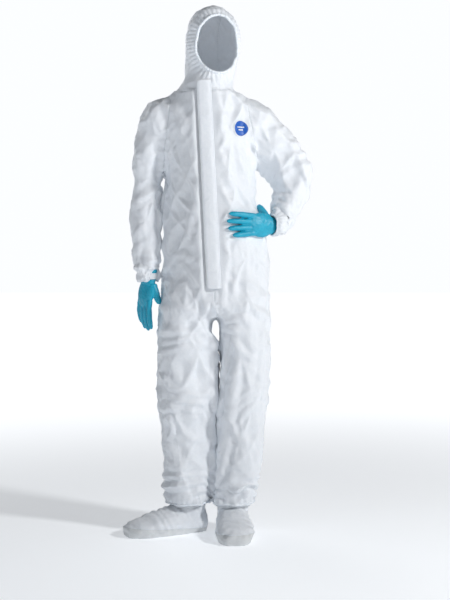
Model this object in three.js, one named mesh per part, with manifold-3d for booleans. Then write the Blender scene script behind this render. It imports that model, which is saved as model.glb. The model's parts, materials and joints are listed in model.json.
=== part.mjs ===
// A hooded chemical protective suit of spun-bonded fabric, standing as if worn: one sleeve hangs,
// the other rests its glove on the hip. Sizes are millimetres, +Z is up and the suit faces -Y.
// Every fabric panel is a thin shell round a space for the wearer, cut apart along its seams.
import * as THREE from "three";
import { mergeVertices } from "three/addons/utils/BufferGeometryUtils.js";
import Module from "manifold-3d";

const wasm = await Module();
wasm.setup();

// ---------------------------------------------------------------- driving dimensions
const wall = 3; // a fabric wall with the air held in its folds
const seamGap = 0.3; // between pieces that are sewn edge to edge

const inseam = 751; // floor to crotch
const crotchToWaist = 359;
const waistToChest = 183;
const chestToShoulder = 147;
const shoulderToNeck = 45;
const hoodHeight = 295; // neck seam to crown

const hipHalfWidth = 180;
const waistHalfWidth = 146;
const chestHalfWidth = 160;
const neckHalfWidth = 88;
const neckHalfDepth = 80;
const frontLean = 0.0524; // how far the zip line leans back for each millimetre it rises
const frontAtCrotch = -128; // y of the zip line at the crotch

const thighHalfWidth = 92;
const calfHalfWidth = 76;
const ankleHalfWidth = 64;
const legGap = 7; // between the thighs just below the crotch
const ankleLevel = 104;

const upperArmHalfWidth = 56;
const cuffHalfWidth = 36;
const armClearance = 27; // hanging cuff to hip

const bootLength = 285;
const bootHalfWidth = 62;
const soleThickness = 4;

const zipAboveCrotch = 94;
const zipBelowNeck = 7;
const zipSlotHalf = 7; // each front panel stops this far from the zip line
const flapWidth = 51;
const flapRise = 9; // storm flap's inner face in front of the panels
const flapThickness = 1.5;

const gloveWall = 1.5;
const gloveInCuff = 4.8; // the cuff's elastic to the glove inside it
const gauntletLength = 30; // wrist to the rolled edge inside the cuff
const elasticThickness = 1.5;

// ---------------------------------------------------------------- levels above the floor
const waistLevel = inseam + crotchToWaist;
const chestLevel = waistLevel + waistToChest;
const shoulderLevel = chestLevel + chestToShoulder;
const neckLevel = shoulderLevel + shoulderToNeck;
const hipLevel = inseam + 0.28 * crotchToWaist;
const kneeLevel = 0.56 * inseam;
const zipLength = neckLevel - zipBelowNeck - inseam - zipAboveCrotch;

// ---------------------------------------------------------------- materials
const cloth = (colour, roughness = 0.62) =>
  new THREE.MeshStandardMaterial({ color: colour, roughness, metalness: 0 });
const spunbond = cloth(0xf2f4f7);
const hem = cloth(0xfbfbfa, 0.7);
const soleGrip = cloth(0xd3d5d4, 0.85);
const nylon = cloth(0xeceef0, 0.4);
const nitrile = cloth(0x0a9fc4, 0.45);
const badgeBlue = cloth(0x0b6bbf, 0.5);

// ---------------------------------------------------------------- solids
const at = (x, y, z) => new THREE.Vector3(x, y, z);
const up = at(0, 0, 1);
const ahead = at(0, -1, 0);

// A closed three.js geometry as a solid that can be cut and joined.
function solid(geometry) {
  const bare = geometry.clone();
  bare.deleteAttribute("normal");
  bare.deleteAttribute("uv");
  const merged = mergeVertices(bare, 1e-4);
  return new wasm.Manifold(
    new wasm.Mesh({
      numProp: 3,
      vertProperties: merged.attributes.position.array,
      triVerts: new Uint32Array(merged.index.array),
    }),
  );
}

// A named mesh of a solid, added to its group.
function piece(group, name, shape, material) {
  const made = shape.getMesh();
  const geometry = new THREE.BufferGeometry();
  geometry.setAttribute("position", new THREE.BufferAttribute(made.vertProperties, 3));
  geometry.setIndex(new THREE.BufferAttribute(made.triVerts, 1));
  geometry.computeVertexNormals();
  const mesh = new THREE.Mesh(geometry, material);
  mesh.name = name;
  group.add(mesh);
  return mesh;
}

const unite = (shapes) => shapes.reduce((whole, next) => whole.add(next));

// A box between two corners.
function block(low, high) {
  const size = high.clone().sub(low);
  const geometry = new THREE.BoxGeometry(size.x, size.y, size.z);
  geometry.translate(low.x + size.x / 2, low.y + size.y / 2, low.z + size.z / 2);
  return solid(geometry);
}

// An ellipsoid.
function ball(centre, across, deep, high, segments = 16) {
  const geometry = new THREE.SphereGeometry(1, segments, segments * 0.6);
  geometry.rotateX(Math.PI / 2);
  geometry.scale(across, deep, high);
  geometry.translate(centre.x, centre.y, centre.z);
  return solid(geometry);
}

const station = (x, y, z, across, deep) => ({ centre: at(x, y, z), across, deep });

// A closed tube through oval stations, its sections level or square to its path. Each oval is let
// out by grow, and each end is moved out by capGrow.
function ovalTube(stations, options) {
  const { grow = 0, capGrow = 0, segments = 20, steps = 12, level = false } = options;
  const through = (points) => new THREE.CatmullRomCurve3(points, false, "catmullrom", 0.5);
  const path = through(stations.map((s) => s.centre));
  const size = through(stations.map((s) => at(s.across, s.deep, 0)));
  const tube = new THREE.CylinderGeometry(1, 1, 1, segments, steps, false, Math.PI / segments);
  const vertices = tube.attributes.position;
  for (let i = 0; i < vertices.count; i++) {
    const t = THREE.MathUtils.clamp(vertices.getY(i) + 0.5, 0, 1);
    const tangent = level ? up : path.getTangent(t);
    const side = tangent.clone().cross(ahead).normalize();
    const front = side.clone().cross(tangent);
    const oval = size.getPoint(t);
    const placed = path
      .getPoint(t)
      .addScaledVector(tangent, Math.trunc(2 * t - 1) * capGrow)
      .addScaledVector(side, vertices.getX(i) * (oval.x + grow))
      .addScaledVector(front, vertices.getZ(i) * (oval.y + grow));
    vertices.setXYZ(i, placed.x, placed.y, placed.z);
  }
  return solid(tube);
}

// ---------------------------------------------------------------- trunk, legs and arms as forms
// The chest's ovals reach a little past the plane of the zip, which cuts them off flat.
const frontAt = (z) => frontAtCrotch + frontLean * (z - inseam);
const flattened = 4;
const trunkStation = (x, z, across, deep) =>
  station(x, frontAt(z) + deep - flattened, z, across, deep);
const trunkStations = [
  station(13, -10, inseam - 8, hipHalfWidth - 50, 95),
  trunkStation(14, inseam + 32, hipHalfWidth - 3, 121),
  trunkStation(19, hipLevel, hipHalfWidth, 128),
  trunkStation(21, hipLevel + 85, hipHalfWidth - 7, 129),
  trunkStation(10, waistLevel - 80, waistHalfWidth + 9, 121),
  trunkStation(-1, waistLevel, waistHalfWidth, 114),
  trunkStation(0, waistLevel + 85, chestHalfWidth - 8, 118),
  trunkStation(-8, chestLevel, chestHalfWidth, 122),
  trunkStation(-12, shoulderLevel - 40, chestHalfWidth + 4, 113),
  trunkStation(-14, shoulderLevel + 4, chestHalfWidth, 100),
  trunkStation(-18, shoulderLevel + 27, chestHalfWidth - 30, 90),
  trunkStation(-21, neckLevel, neckHalfWidth, neckHalfDepth),
  trunkStation(-21, neckLevel + 25, neckHalfWidth - 4, neckHalfDepth - 2),
];
const intoChest = at(0, 1, -frontLean).normalize();
const zipPlane = intoChest.dot(at(0, frontAt(inseam), inseam));
const trunkForm = (grow) =>
  ovalTube(trunkStations, { grow, capGrow: grow, steps: 13, level: true })
    .trimByPlane(intoChest.toArray(), zipPlane - grow);

// The trunk's oval at a level, between its two nearest stations.
function trunkOval(z) {
  const i = THREE.MathUtils.clamp(
    trunkStations.findIndex((s) => s.centre.z > z), 1, trunkStations.length - 1);
  const [low, high] = [trunkStations[i - 1], trunkStations[i]];
  const share = (z - low.centre.z) / (high.centre.z - low.centre.z);
  return {
    centre: low.centre.clone().lerp(high.centre, share),
    across: THREE.MathUtils.lerp(low.across, high.across, share),
    deep: THREE.MathUtils.lerp(low.deep, high.deep, share),
  };
}

// A point on the trunk's skin and the way it faces. Angle 0 is dead ahead and +90 the suit's left.
function trunkSkin(z, degrees) {
  const oval = trunkOval(z);
  const angle = THREE.MathUtils.degToRad(degrees);
  const [across, forward] = [Math.sin(angle), -Math.cos(angle)];
  return {
    point: oval.centre.clone().add(at(across * oval.across, forward * oval.deep, 0)),
    facing: at(across / oval.across, forward / oval.deep, 0).normalize(),
  };
}

const crotchX = 12;
const besideCrotch = legGap / 2 + thighHalfWidth;
const legStations = {
  right: [
    station(-81, 5, ankleLevel - 20, ankleHalfWidth - 2, 68),
    station(-81, 5, ankleLevel, ankleHalfWidth, 70),
    station(-78, 9, ankleLevel + 70, calfHalfWidth, 82),
    station(-84, 6, (kneeLevel + ankleLevel) / 2, calfHalfWidth + 2, 84),
    station(-91, -4, kneeLevel - 60, calfHalfWidth, 84),
    station(-92, -14, kneeLevel + 25, thighHalfWidth, 92),
    station(crotchX - besideCrotch - 3, -12, inseam - 170, thighHalfWidth - 2, 97),
    station(crotchX - besideCrotch, -9, inseam - 40, thighHalfWidth, 109),
    station(crotchX - besideCrotch + 2, -8, inseam + 25, thighHalfWidth - 1, 119),
    station(-68, 4, hipLevel + 50, thighHalfWidth - 22, 96),
  ],
  left: [
    station(70, -2, ankleLevel - 20, ankleHalfWidth, 68),
    station(70, -2, ankleLevel, ankleHalfWidth + 2, 70),
    station(80, 2, ankleLevel + 70, calfHalfWidth, 82),
    station(91, 0, (kneeLevel + ankleLevel) / 2, calfHalfWidth + 7, 84),
    station(97, -5, kneeLevel - 60, calfHalfWidth - 2, 82),
    station(101, -12, kneeLevel + 35, thighHalfWidth - 11, 90),
    station(crotchX + besideCrotch + 3, -12, inseam - 170, thighHalfWidth - 2, 97),
    station(crotchX + besideCrotch, -9, inseam - 40, thighHalfWidth, 109),
    station(crotchX + besideCrotch - 2, -8, inseam + 25, thighHalfWidth - 1, 119),
    station(104, 4, hipLevel + 50, thighHalfWidth - 22, 96),
  ],
};
const legForm = (side, grow) =>
  ovalTube(legStations[side], { grow, segments: 14, steps: 10, level: true });

// The hanging wrist stands clear of the hip, and the other wrist comes off the waist.
const rightEdge = trunkOval(hipLevel + 85).centre.x - trunkOval(hipLevel + 85).across;
const hangingCuffX = rightEdge - armClearance - cuffHalfWidth;
const handRestLevel = waistLevel - 70;
const handRest = trunkSkin(handRestLevel, 60);
const palmHalfThickness = 16;
const restGap = 8; // glove to waist
const palmCentre = handRest.point
  .clone()
  .addScaledVector(handRest.facing, palmHalfThickness + restGap);
const restFingers = at(-0.79, -0.61, 0.02).normalize();
const restWrist = palmCentre.clone().addScaledVector(restFingers, -54);

const shoulder = {
  right: at(trunkOval(shoulderLevel).centre.x - chestHalfWidth + 6, 20, shoulderLevel - 50),
  left: at(trunkOval(shoulderLevel).centre.x + chestHalfWidth - 8, 17, shoulderLevel - 53),
};
const elbow = {
  right: at(hangingCuffX - 12, 24, waistLevel - 55),
  left: at(shoulder.left.x + 151, 36, shoulder.left.z - 175),
};
const armStation = (centre, across, deep) => ({ centre, across, deep });
const armStations = {
  right: [
    armStation(shoulder.right.clone().add(at(-10, 0, 42)), upperArmHalfWidth - 2, 74),
    armStation(shoulder.right.clone().add(at(-40, 2, -60)), upperArmHalfWidth, 72),
    armStation(shoulder.right.clone().add(at(-52, 5, -170)), upperArmHalfWidth - 1, 65),
    armStation(elbow.right, upperArmHalfWidth - 2, 60),
    armStation(elbow.right.clone().add(at(3, -14, -90)), upperArmHalfWidth - 12, 53),
    armStation(at(hangingCuffX, -8, waistLevel - 210), cuffHalfWidth + 8, cuffHalfWidth + 11),
    armStation(at(hangingCuffX + 1, -11, waistLevel - 233), cuffHalfWidth, cuffHalfWidth + 2),
    armStation(at(hangingCuffX + 2, -12, waistLevel - 253), cuffHalfWidth, cuffHalfWidth + 1),
  ],
  left: [
    armStation(shoulder.left.clone().add(at(-18, 0, -12)), upperArmHalfWidth + 20, 68),
    armStation(shoulder.left.clone().add(at(40, 8, -50)), upperArmHalfWidth + 28, 74),
    armStation(shoulder.left.clone().add(at(102, 18, -100)), upperArmHalfWidth + 14, 66),
    armStation(elbow.left.clone().add(at(2, 2, 6)), upperArmHalfWidth + 3, 61),
    armStation(elbow.left.clone().add(at(-4, -6, -48)), upperArmHalfWidth - 4, 56),
    armStation(elbow.left.clone().add(at(-30, -22, -98)), upperArmHalfWidth - 8, 50),
    armStation(restWrist.clone().addScaledVector(restFingers, -44).setZ(handRestLevel + 16),
      cuffHalfWidth + 8, cuffHalfWidth + 8),
    armStation(restWrist.clone().addScaledVector(restFingers, -18), cuffHalfWidth, cuffHalfWidth + 2),
    armStation(restWrist, cuffHalfWidth, cuffHalfWidth + 1),
  ],
};
const armFacets = 14;
// A shoulder is round about its hinge, which runs front to back, so that the sleeve can be raised.
const shoulderRadius = { right: 80, left: 78 };
const shoulderHalfDepth = { right: 84, left: 75 };
const shoulderClearance = 3.2; // the armhole's edge to the sleeve's shoulder
function sleeveForm(side, grow) {
  const radius = shoulderRadius[side] + grow;
  const cap = ball(shoulder[side], radius, shoulderHalfDepth[side] + grow, radius, 16);
  return ovalTube(armStations[side], { grow, segments: armFacets, steps: 10 }).add(cap);
}

// ---------------------------------------------------------------- trousers and body panels
const suit = new THREE.Group();
const big = 3000;
const half = seamGap / 2;
const outerTrunk = unite([trunkForm(0), legForm("right", 0), legForm("left", 0)]);
const innerTrunk = unite([trunkForm(-wall), legForm("right", -wall), legForm("left", -wall)]);
const armholes = sleeveForm("right", shoulderClearance).add(sleeveForm("left", shoulderClearance));
const trunkShell = outerTrunk
  .subtract(innerTrunk)
  .subtract(armholes)
  .trimByPlane([0, 0, -1], -neckLevel + half)
  .trimByPlane([0, 0, 1], ankleLevel);

// The zip's own frame: origin at its lower end, +Z along it, +X to the suit's left, +Y inwards.
const zipShift = -32; // how far the line of the zip wanders to the suit's right as it rises
const zipFoot = at(crotchX - 4, frontAt(inseam + zipAboveCrotch), inseam + zipAboveCrotch);
const zipHead = at(zipFoot.x + zipShift, frontAt(zipFoot.z + zipLength), zipFoot.z + zipLength);
const zipUp = zipHead.clone().sub(zipFoot).normalize();
const zipSide = at(1, 0, 0).addScaledVector(zipUp, -zipUp.x).normalize();
const zipInwards = zipUp.clone().cross(zipSide);
const zipFrame = new THREE.Matrix4()
  .makeBasis(zipSide, zipInwards, zipUp)
  .setPosition(zipFoot);
const inZipFrame = (geometry) => solid(geometry.applyMatrix4(zipFrame));

// The centre seam follows the zip line and then runs down between the legs. A half holds all of a
// shape on one side of it: side is -1 for the suit's right and 1 for its left.
const betweenFeetX = 0;
const zipLineX = (z) => zipFoot.x + (zipUp.x / zipUp.z) * (z - zipFoot.z);
function halfOf(shape, side) {
  const seam = [[betweenFeetX, 0], [zipLineX(inseam), inseam], [zipLineX(big), big]];
  const edge = seam.map(([x, z]) => new THREE.Vector2(x + side * half, -z));
  const outline = new THREE.Shape([
    ...edge, new THREE.Vector2(side * big, -big), new THREE.Vector2(side * big, 0)]);
  const halfSpace = new THREE.ExtrudeGeometry(outline, { depth: 2 * big, bevelEnabled: false });
  halfSpace.translate(0, 0, -big).rotateX(-Math.PI / 2);
  return shape.intersect(solid(halfSpace));
}

const sideSeam = 6; // y of the side and inside-leg seams
const frontOf = (shape) => shape.trimByPlane([0, -1, 0], -sideSeam + half);
const backOf = (shape) => shape.trimByPlane([0, 1, 0], sideSeam + half);

// A diamond of cloth lets the crotch stretch.
const gussetHalf = 62;
function gussetPrism(grow) {
  const prism = new THREE.CylinderGeometry(gussetHalf + grow, gussetHalf + grow, 60 + 2 * grow, 4);
  prism.rotateX(Math.PI / 2);
  prism.scale(1, 1.3, 1);
  prism.translate(crotchX, sideSeam, inseam);
  return solid(prism);
}
piece(suit, "crotch_gusset", trunkShell.intersect(gussetPrism(0)), spunbond);
const panels = trunkShell.subtract(gussetPrism(seamGap));

const slotBelow = 6; // makes room for the bottom stop
const slot = new THREE.BoxGeometry(2 * zipSlotHalf, 80, zipLength + slotBelow + 60);
slot.translate(0, 0, (zipLength - slotBelow) / 2 + 30);
const zipSlot = inZipFrame(slot);
const fronts = frontOf(panels).subtract(zipSlot);
const backs = backOf(panels);
const lowerBack = backs.trimByPlane([0, 0, -1], -waistLevel + half);
const upperBack = backs.trimByPlane([0, 0, 1], waistLevel + half);
piece(suit, "right_front", halfOf(fronts, -1), spunbond);
piece(suit, "left_front", halfOf(fronts, 1), spunbond);
piece(suit, "upper_back", upperBack, spunbond);
piece(suit, "right_seat_and_leg_back", halfOf(lowerBack, -1), spunbond);
piece(suit, "left_seat_and_leg_back", halfOf(lowerBack, 1), spunbond);

// Elastic stuck across the inside of the back waist.
const waistElasticHalf = 7;
const waistBand = trunkForm(-wall - seamGap)
  .subtract(trunkForm(-wall - seamGap - elasticThickness))
  .trimByPlane([0, 0, 1], waistLevel + 4)
  .trimByPlane([0, 0, -1], -waistLevel - 4 - 2 * waistElasticHalf)
  .trimByPlane([0, 1, 0], sideSeam + 30);
piece(suit, "waist_elastic", waistBand, hem);

// ---------------------------------------------------------------- sleeves, cuffs and ankles
const trunkClear = outerTrunk.add(trunkForm(seamGap));

// A ring of elastic just inside the end of a tube, between the tube's two last stations.
function elasticRing(end, level) {
  const options = { segments: armFacets, steps: 2, level };
  const [from, to] = end.map((s) => s.centre);
  const along = to.clone().sub(from).normalize();
  const outside = ovalTube(end, { ...options, grow: -wall - seamGap });
  const inside = ovalTube(
    [{ ...end[0], centre: from.clone().addScaledVector(along, -5) },
      { ...end[1], centre: to.clone().addScaledVector(along, 5) }],
    { ...options, grow: -wall - seamGap - elasticThickness },
  );
  return outside.subtract(inside);
}

const cuffOpen = 30; // how far the cutter of an open end reaches past it
function openEnded(side, grow) {
  const stations = armStations[side];
  const [before, last] = stations.slice(-2);
  const along = last.centre.clone().sub(before.centre).normalize();
  const past = { ...last, centre: last.centre.clone().addScaledVector(along, cuffOpen) };
  return ovalTube([before, last, past], { grow, segments: armFacets, steps: 2 });
}

for (const side of ["right", "left"]) {
  const shell = sleeveForm(side, 0)
    .subtract(sleeveForm(side, -wall))
    .subtract(openEnded(side, -wall))
    .subtract(trunkClear);
  piece(suit, `${side}_sleeve`, shell, spunbond);
  piece(suit, `${side}_cuff_elastic`, elasticRing(armStations[side].slice(-2), false), hem);
}

// ---------------------------------------------------------------- overboots
const bootHeight = 168;
const bootAt = {
  right: { x: -81, y: 5, toeOut: -65 },
  left: { x: 70, y: -2, toeOut: 2 },
};
const heelReach = 60; // back of the heel behind the shaft's middle
const footStation = (share, across, top) => ({
  share, across, ...station(0, 0.375 * top, share * bootLength - heelReach, across, top / 1.6),
});
const footStations = [
  footStation(0.0, 0.42 * bootHalfWidth, 72),
  footStation(0.1, 0.68 * bootHalfWidth, 92),
  footStation(0.28, 0.78 * bootHalfWidth, 100),
  footStation(0.5, 0.9 * bootHalfWidth, 84),
  footStation(0.7, bootHalfWidth, 66),
  footStation(0.88, 0.9 * bootHalfWidth, 52),
  footStation(1.0, 0.5 * bootHalfWidth, 36),
];
const shaftStations = [
  station(0, 2, 30, ankleHalfWidth - 20, 48),
  station(0, 2, ankleLevel, ankleHalfWidth - 14, 52),
  station(0, 2, bootHeight + 10, ankleHalfWidth - 12, 54),
];
// The foot's tube is made standing on its heel and laid down with its toe forward.
function bootForm(grow) {
  const foot = ovalTube(footStations, {
    grow, capGrow: grow, segments: 16, steps: 8, level: true,
  });
  const shaft = ovalTube(shaftStations, { grow, segments: 14, steps: 3, level: true });
  return foot.rotate([90, 0, 0]).add(shaft);
}
const bootUpper = bootForm(0)
  .subtract(bootForm(-wall))
  .trimByPlane([0, 0, 1], soleThickness + seamGap)
  .trimByPlane([0, 0, -1], -bootHeight);

// The slip-resistant sole follows the widths of the foot.
function soleShape() {
  const rim = footStations.map((s) => new THREE.Vector2(0.9 * s.across, -s.centre.z));
  const outline = new THREE.Shape();
  outline.moveTo(rim[0].x, rim[0].y);
  outline.splineThru(rim.slice(1));
  outline.lineTo(-rim.at(-1).x, rim.at(-1).y);
  outline.splineThru([...rim].reverse().slice(1).map((p) => new THREE.Vector2(-p.x, p.y)));
  return outline;
}
const sole = new THREE.ExtrudeGeometry(soleShape(), {
  depth: soleThickness, bevelEnabled: false, curveSegments: 3,
});

for (const side of ["right", "left"]) {
  const { x, y, toeOut } = bootAt[side];
  const stand = (shape) => shape.rotate([0, 0, toeOut]).translate([x, y, 0]);
  piece(suit, `${side}_overboot`, stand(bootUpper), spunbond);
  piece(suit, `${side}_overboot_sole`, stand(solid(sole)), soleGrip);
  const ankle = elasticRing(legStations[side].slice(0, 2), true)
    .trimByPlane([0, 0, 1], ankleLevel - 12);
  piece(suit, `${side}_ankle_elastic`, ankle, hem);
}

// ---------------------------------------------------------------- hood
const hoodTurn = 13; // degrees that the hood faces towards the suit's left
const hoodCentreX = 1;
const hoodStation = (x, front, share, across, deep) =>
  station(x, front + deep, neckLevel + share * hoodHeight, across, deep);
const neckFront = frontAt(neckLevel);
const hoodStations = [
  hoodStation(-22, neckFront, -0.08, neckHalfWidth, neckHalfDepth - flattened / 2),
  hoodStation(-21, neckFront, 0, neckHalfWidth, neckHalfDepth - flattened / 2),
  hoodStation(-12, neckFront + 3, 0.12, neckHalfWidth - 5, neckHalfDepth + 2),
  hoodStation(-3, neckFront + 2, 0.26, neckHalfWidth - 6, neckHalfDepth + 13),
  hoodStation(hoodCentreX - 1, neckFront - 8, 0.42, neckHalfWidth + 3, neckHalfDepth + 30),
  hoodStation(hoodCentreX, neckFront - 12, 0.6, neckHalfWidth + 8, neckHalfDepth + 39),
  hoodStation(hoodCentreX, neckFront - 6, 0.76, neckHalfWidth - 3, neckHalfDepth + 30),
  hoodStation(hoodCentreX - 2, neckFront + 14, 0.89, neckHalfWidth - 24, neckHalfDepth + 6),
  hoodStation(hoodCentreX - 4, neckFront + 44, 0.97, neckHalfWidth - 50, neckHalfDepth - 30),
  hoodStation(hoodCentreX - 5, neckFront + 74, 1, 12, 14),
];
const hoodForm = (grow) =>
  ovalTube(hoodStations, { grow, capGrow: grow, segments: 20, steps: 12, level: true });
const faceLevel = neckLevel + 0.505 * hoodHeight;
const faceHalfWidth = 71;
const faceHalfHeight = 94;
const hemWidth = 12;
const turned = (shape) => shape.rotate([0, 0, hoodTurn]).translate([hoodCentreX, 10, faceLevel]);

function faceCutter(grow) {
  const oval = new THREE.CylinderGeometry(1, 1, 260, 24);
  oval.scale(faceHalfWidth + grow, 1, faceHalfHeight + grow);
  oval.translate(0, -130, 0);
  return turned(solid(oval));
}
const hoodShell = hoodForm(0)
  .subtract(hoodForm(-wall))
  .trimByPlane([0, 0, 1], neckLevel + half);
const faceHem = hoodShell.intersect(faceCutter(hemWidth)).subtract(faceCutter(0));
piece(suit, "hood_face_elastic_hem", faceHem, hem);
const hoodCloth = hoodShell.subtract(faceCutter(hemWidth + seamGap));

// The centre panel runs from the brow over the crown and down to the nape.
const crownPanelHalf = 44;
function crownPanel(grow) {
  const strip = block(
    at(-crownPanelHalf - grow, -400, -400), at(crownPanelHalf + grow, 400, 400));
  const chin = block(at(-200, -400, -400), at(200, -grow, 0));
  return turned(strip.subtract(chin));
}
piece(suit, "hood_centre_panel", hoodCloth.intersect(crownPanel(0)), spunbond);
const hoodSides = hoodCloth.subtract(crownPanel(seamGap));
const hoodAcross = at(1, 0, 0).applyAxisAngle(up, THREE.MathUtils.degToRad(hoodTurn));
const chinSplit = hoodAcross.dot(at(hoodCentreX - 14, 10, 0));
piece(suit, "hood_right_side",
  hoodSides.trimByPlane(hoodAcross.clone().negate().toArray(), -chinSplit + half), spunbond);
piece(suit, "hood_left_side",
  hoodSides.trimByPlane(hoodAcross.toArray(), chinSplit + half), spunbond);

// A plain sewn-in size label hangs inside the back of the neck.
const labelTop = neckLevel - 8;
const nape = trunkOval(labelTop);
const labelBack = nape.centre.y + nape.deep - wall - 9;
piece(suit, "size_label",
  block(at(-16 + nape.centre.x, labelBack - 0.8, labelTop - 40),
    at(16 + nape.centre.x, labelBack, labelTop)), hem);

// ---------------------------------------------------------------- front zip
const tapeThickness = 1;
const tapeFace = wall + seamGap; // the tapes lie behind the panels
const tapeEdge = 3.5;
const tapeWidth = 10;
const teethGap = 0.8;
const teethDepth = 2.8;
const teethFace = wall - 1.2;

// A block in the zip's frame, on one side of it.
function zipBlock(side, fromX, toX, fromY, toY, fromZ, toZ) {
  const geometry = new THREE.BoxGeometry(toX - fromX, toY - fromY, toZ - fromZ);
  geometry.translate((side * (fromX + toX)) / 2, (fromY + toY) / 2, (fromZ + toZ) / 2);
  return inZipFrame(geometry);
}
for (const [name, side] of [["right", -1], ["left", 1]]) {
  piece(suit, `${name}_zip_tape`,
    zipBlock(side, tapeEdge, tapeEdge + tapeWidth, tapeFace, tapeFace + tapeThickness,
      0, zipLength), nylon);
  piece(suit, `${name}_zip_teeth`,
    zipBlock(side, teethGap, tapeEdge - seamGap, teethFace, teethFace + teethDepth,
      0, zipLength), nylon);
}
const stopHeight = 4;
const stopGap = 0.3;
const stopBlock = (from) =>
  zipBlock(1, -tapeEdge, tapeEdge, teethFace - 0.4, teethFace + teethDepth + 0.4,
    from, from + stopHeight);
piece(suit, "zip_bottom_stop", stopBlock(-stopHeight - stopGap), nylon);
piece(suit, "zip_top_stop", stopBlock(zipLength + stopGap), nylon);

// Slider: two plates joined by a web between the teeth, with a bail for the pull.
const sliderLength = 16;
const sliderHalfWidth = 5.5;
const sliderRun = 0.5; // running clearance to the teeth
const sliderPlate = 1.4;
const sliderTop = teethFace - sliderRun;
const sliderBottom = teethFace + teethDepth + sliderRun;
const webHalf = teethGap - 0.3;
const sliderAt = zipLength - 1 - sliderLength / 2; // centre of the slider with the zip closed
const bailHalf = 0.8;
const bailReach = 3.2; // outer face of the bail in front of the slider
const bailBar = 1.2;
const onSlider = (side, x0, x1, y0, y1, z0, z1) =>
  zipBlock(side, x0, x1, y0, y1, sliderAt + z0, sliderAt + z1);
const halfSlider = sliderLength / 2;
const sliderFace = sliderTop - sliderPlate;
const bailFace = sliderFace - bailReach;
const slider = unite([
  onSlider(1, -sliderHalfWidth, sliderHalfWidth, sliderFace, sliderTop, -halfSlider, halfSlider),
  onSlider(1, -sliderHalfWidth, sliderHalfWidth, sliderBottom, sliderBottom + sliderPlate,
    -halfSlider, halfSlider),
  onSlider(1, -webHalf, webHalf, sliderFace + 0.2, sliderBottom + 0.2, -halfSlider, halfSlider),
  onSlider(1, -bailHalf, bailHalf, bailFace, sliderFace + 0.2, 3.5, 5),
  onSlider(1, -bailHalf, bailHalf, bailFace, sliderFace + 0.2, -5, -3.5),
  onSlider(1, -bailHalf, bailHalf, bailFace, bailFace + bailBar, -5, 5),
]);
piece(suit, "zip_slider", slider, nylon);

// Pull: its top bar passes through the bail, and its eye clears the bail's lower leg.
const pullLength = 30;
const pullHalf = 3.6;
const pullThickness = 1.2;
const pullFace = sliderFace - 0.4 - pullThickness;
const pullEye = 6.5;
const pull = onSlider(1, -pullHalf, pullHalf, pullFace, pullFace + pullThickness,
  -pullLength, 0.7)
  .subtract(onSlider(1, -1.8, 1.8, pullFace - 1, pullFace + pullThickness + 1, -pullEye, -0.7));
piece(suit, "zip_pull", pull, nylon);

// ---------------------------------------------------------------- storm flap
const flapHem = 15; // past each end of the zip
const flapAboveZip = 40;
const flapSewn = 24; // x of the sewn edge in the zip's frame
const flapFree = flapSewn - flapWidth;
function flapSection() {
  const outline = new THREE.Shape();
  const inner = [[flapSewn, -0.8], [flapSewn - 13, -flapRise], [flapFree + 9, -flapRise],
    [flapFree, -3.4]];
  inner.forEach(([x, y], i) => (i ? outline.lineTo(x, y) : outline.moveTo(x, y)));
  [...inner].reverse().forEach(([x, y]) => outline.lineTo(x, y - flapThickness));
  return outline;
}
// An outline drawn in the zip's x and y, pushed along its z.
function zipExtrusion(outline, from, to) {
  const geometry = new THREE.ExtrudeGeometry(outline, { depth: to - from, bevelEnabled: false });
  geometry.translate(0, 0, from);
  return inZipFrame(geometry);
}
piece(suit, "storm_flap",
  zipExtrusion(flapSection(), -flapHem, zipLength + flapAboveZip), spunbond);
piece(suit, "flap_adhesive_strip",
  zipBlock(1, flapFree + 2, flapFree + 9, -1.1, -0.3, 0, zipLength - 30), hem);

// ---------------------------------------------------------------- chest badge
const badgeRadius = 25;
const badgeLevel = chestLevel + 66;
const badgeSkin = trunkSkin(badgeLevel, 41);
const badge = new THREE.CylinderGeometry(badgeRadius, badgeRadius, 1.2, 28);
badge.applyQuaternion(new THREE.Quaternion().setFromUnitVectors(at(0, 1, 0), badgeSkin.facing));
const badgeLift = 1.8; // a flat disc on a round chest stands off at its middle
const badgeCentre = badgeSkin.point.clone().addScaledVector(badgeSkin.facing, badgeLift);
badge.translate(badgeCentre.x, badgeCentre.y, badgeCentre.z);
piece(suit, "chest_badge", solid(badge), badgeBlue);

// ---------------------------------------------------------------- gloves
// A hand's own frame: origin at the wrist, fingers along +Z, palm facing +Y, thumb towards +X.
const gloveCuffRadius = cuffHalfWidth - wall - seamGap - elasticThickness - gloveInCuff;
const palmLength = 104;
const palmHalfWidth = 41;
const fingerRadius = 9.5;
const fingers = [ // root across the palm, length, and lean away from straight
  { root: 29, length: 68, lean: 0.11 },
  { root: 10, length: 76, lean: 0.02 },
  { root: -10, length: 72, lean: -0.05 },
  { root: -28, length: 56, lean: -0.15 },
];

// A finger bends towards the palm as it goes: curl is the turn from root to tip.
function fingerForm({ root, length, lean }, curl, grow) {
  const start = at(root, 0, palmLength - 26);
  const joints = [0, 0.5, 0.85, 1].map((share) => {
    const bend = curl * share;
    const reach = (26 + length) * share;
    const mid = bend / 2;
    return start.clone().add(at(lean * reach, reach * Math.sin(mid), reach * Math.cos(mid)));
  });
  const radii = [1, 0.95, 0.85, 0.45].map((r) => r * fingerRadius);
  return ovalTube(joints.map((p, i) => armStation(p, radii[i], radii[i])),
    { grow, segments: 6, steps: 3 });
}

function thumbForm(direction, grow) {
  const root = at(24, 4, 24);
  const radii = [14, 13, 10.5, 5];
  return ovalTube([0, 24, 56, 68].map((reach, i) =>
    armStation(root.clone().addScaledVector(direction, reach), radii[i], radii[i])),
  { grow, segments: 6, steps: 3 });
}

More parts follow.
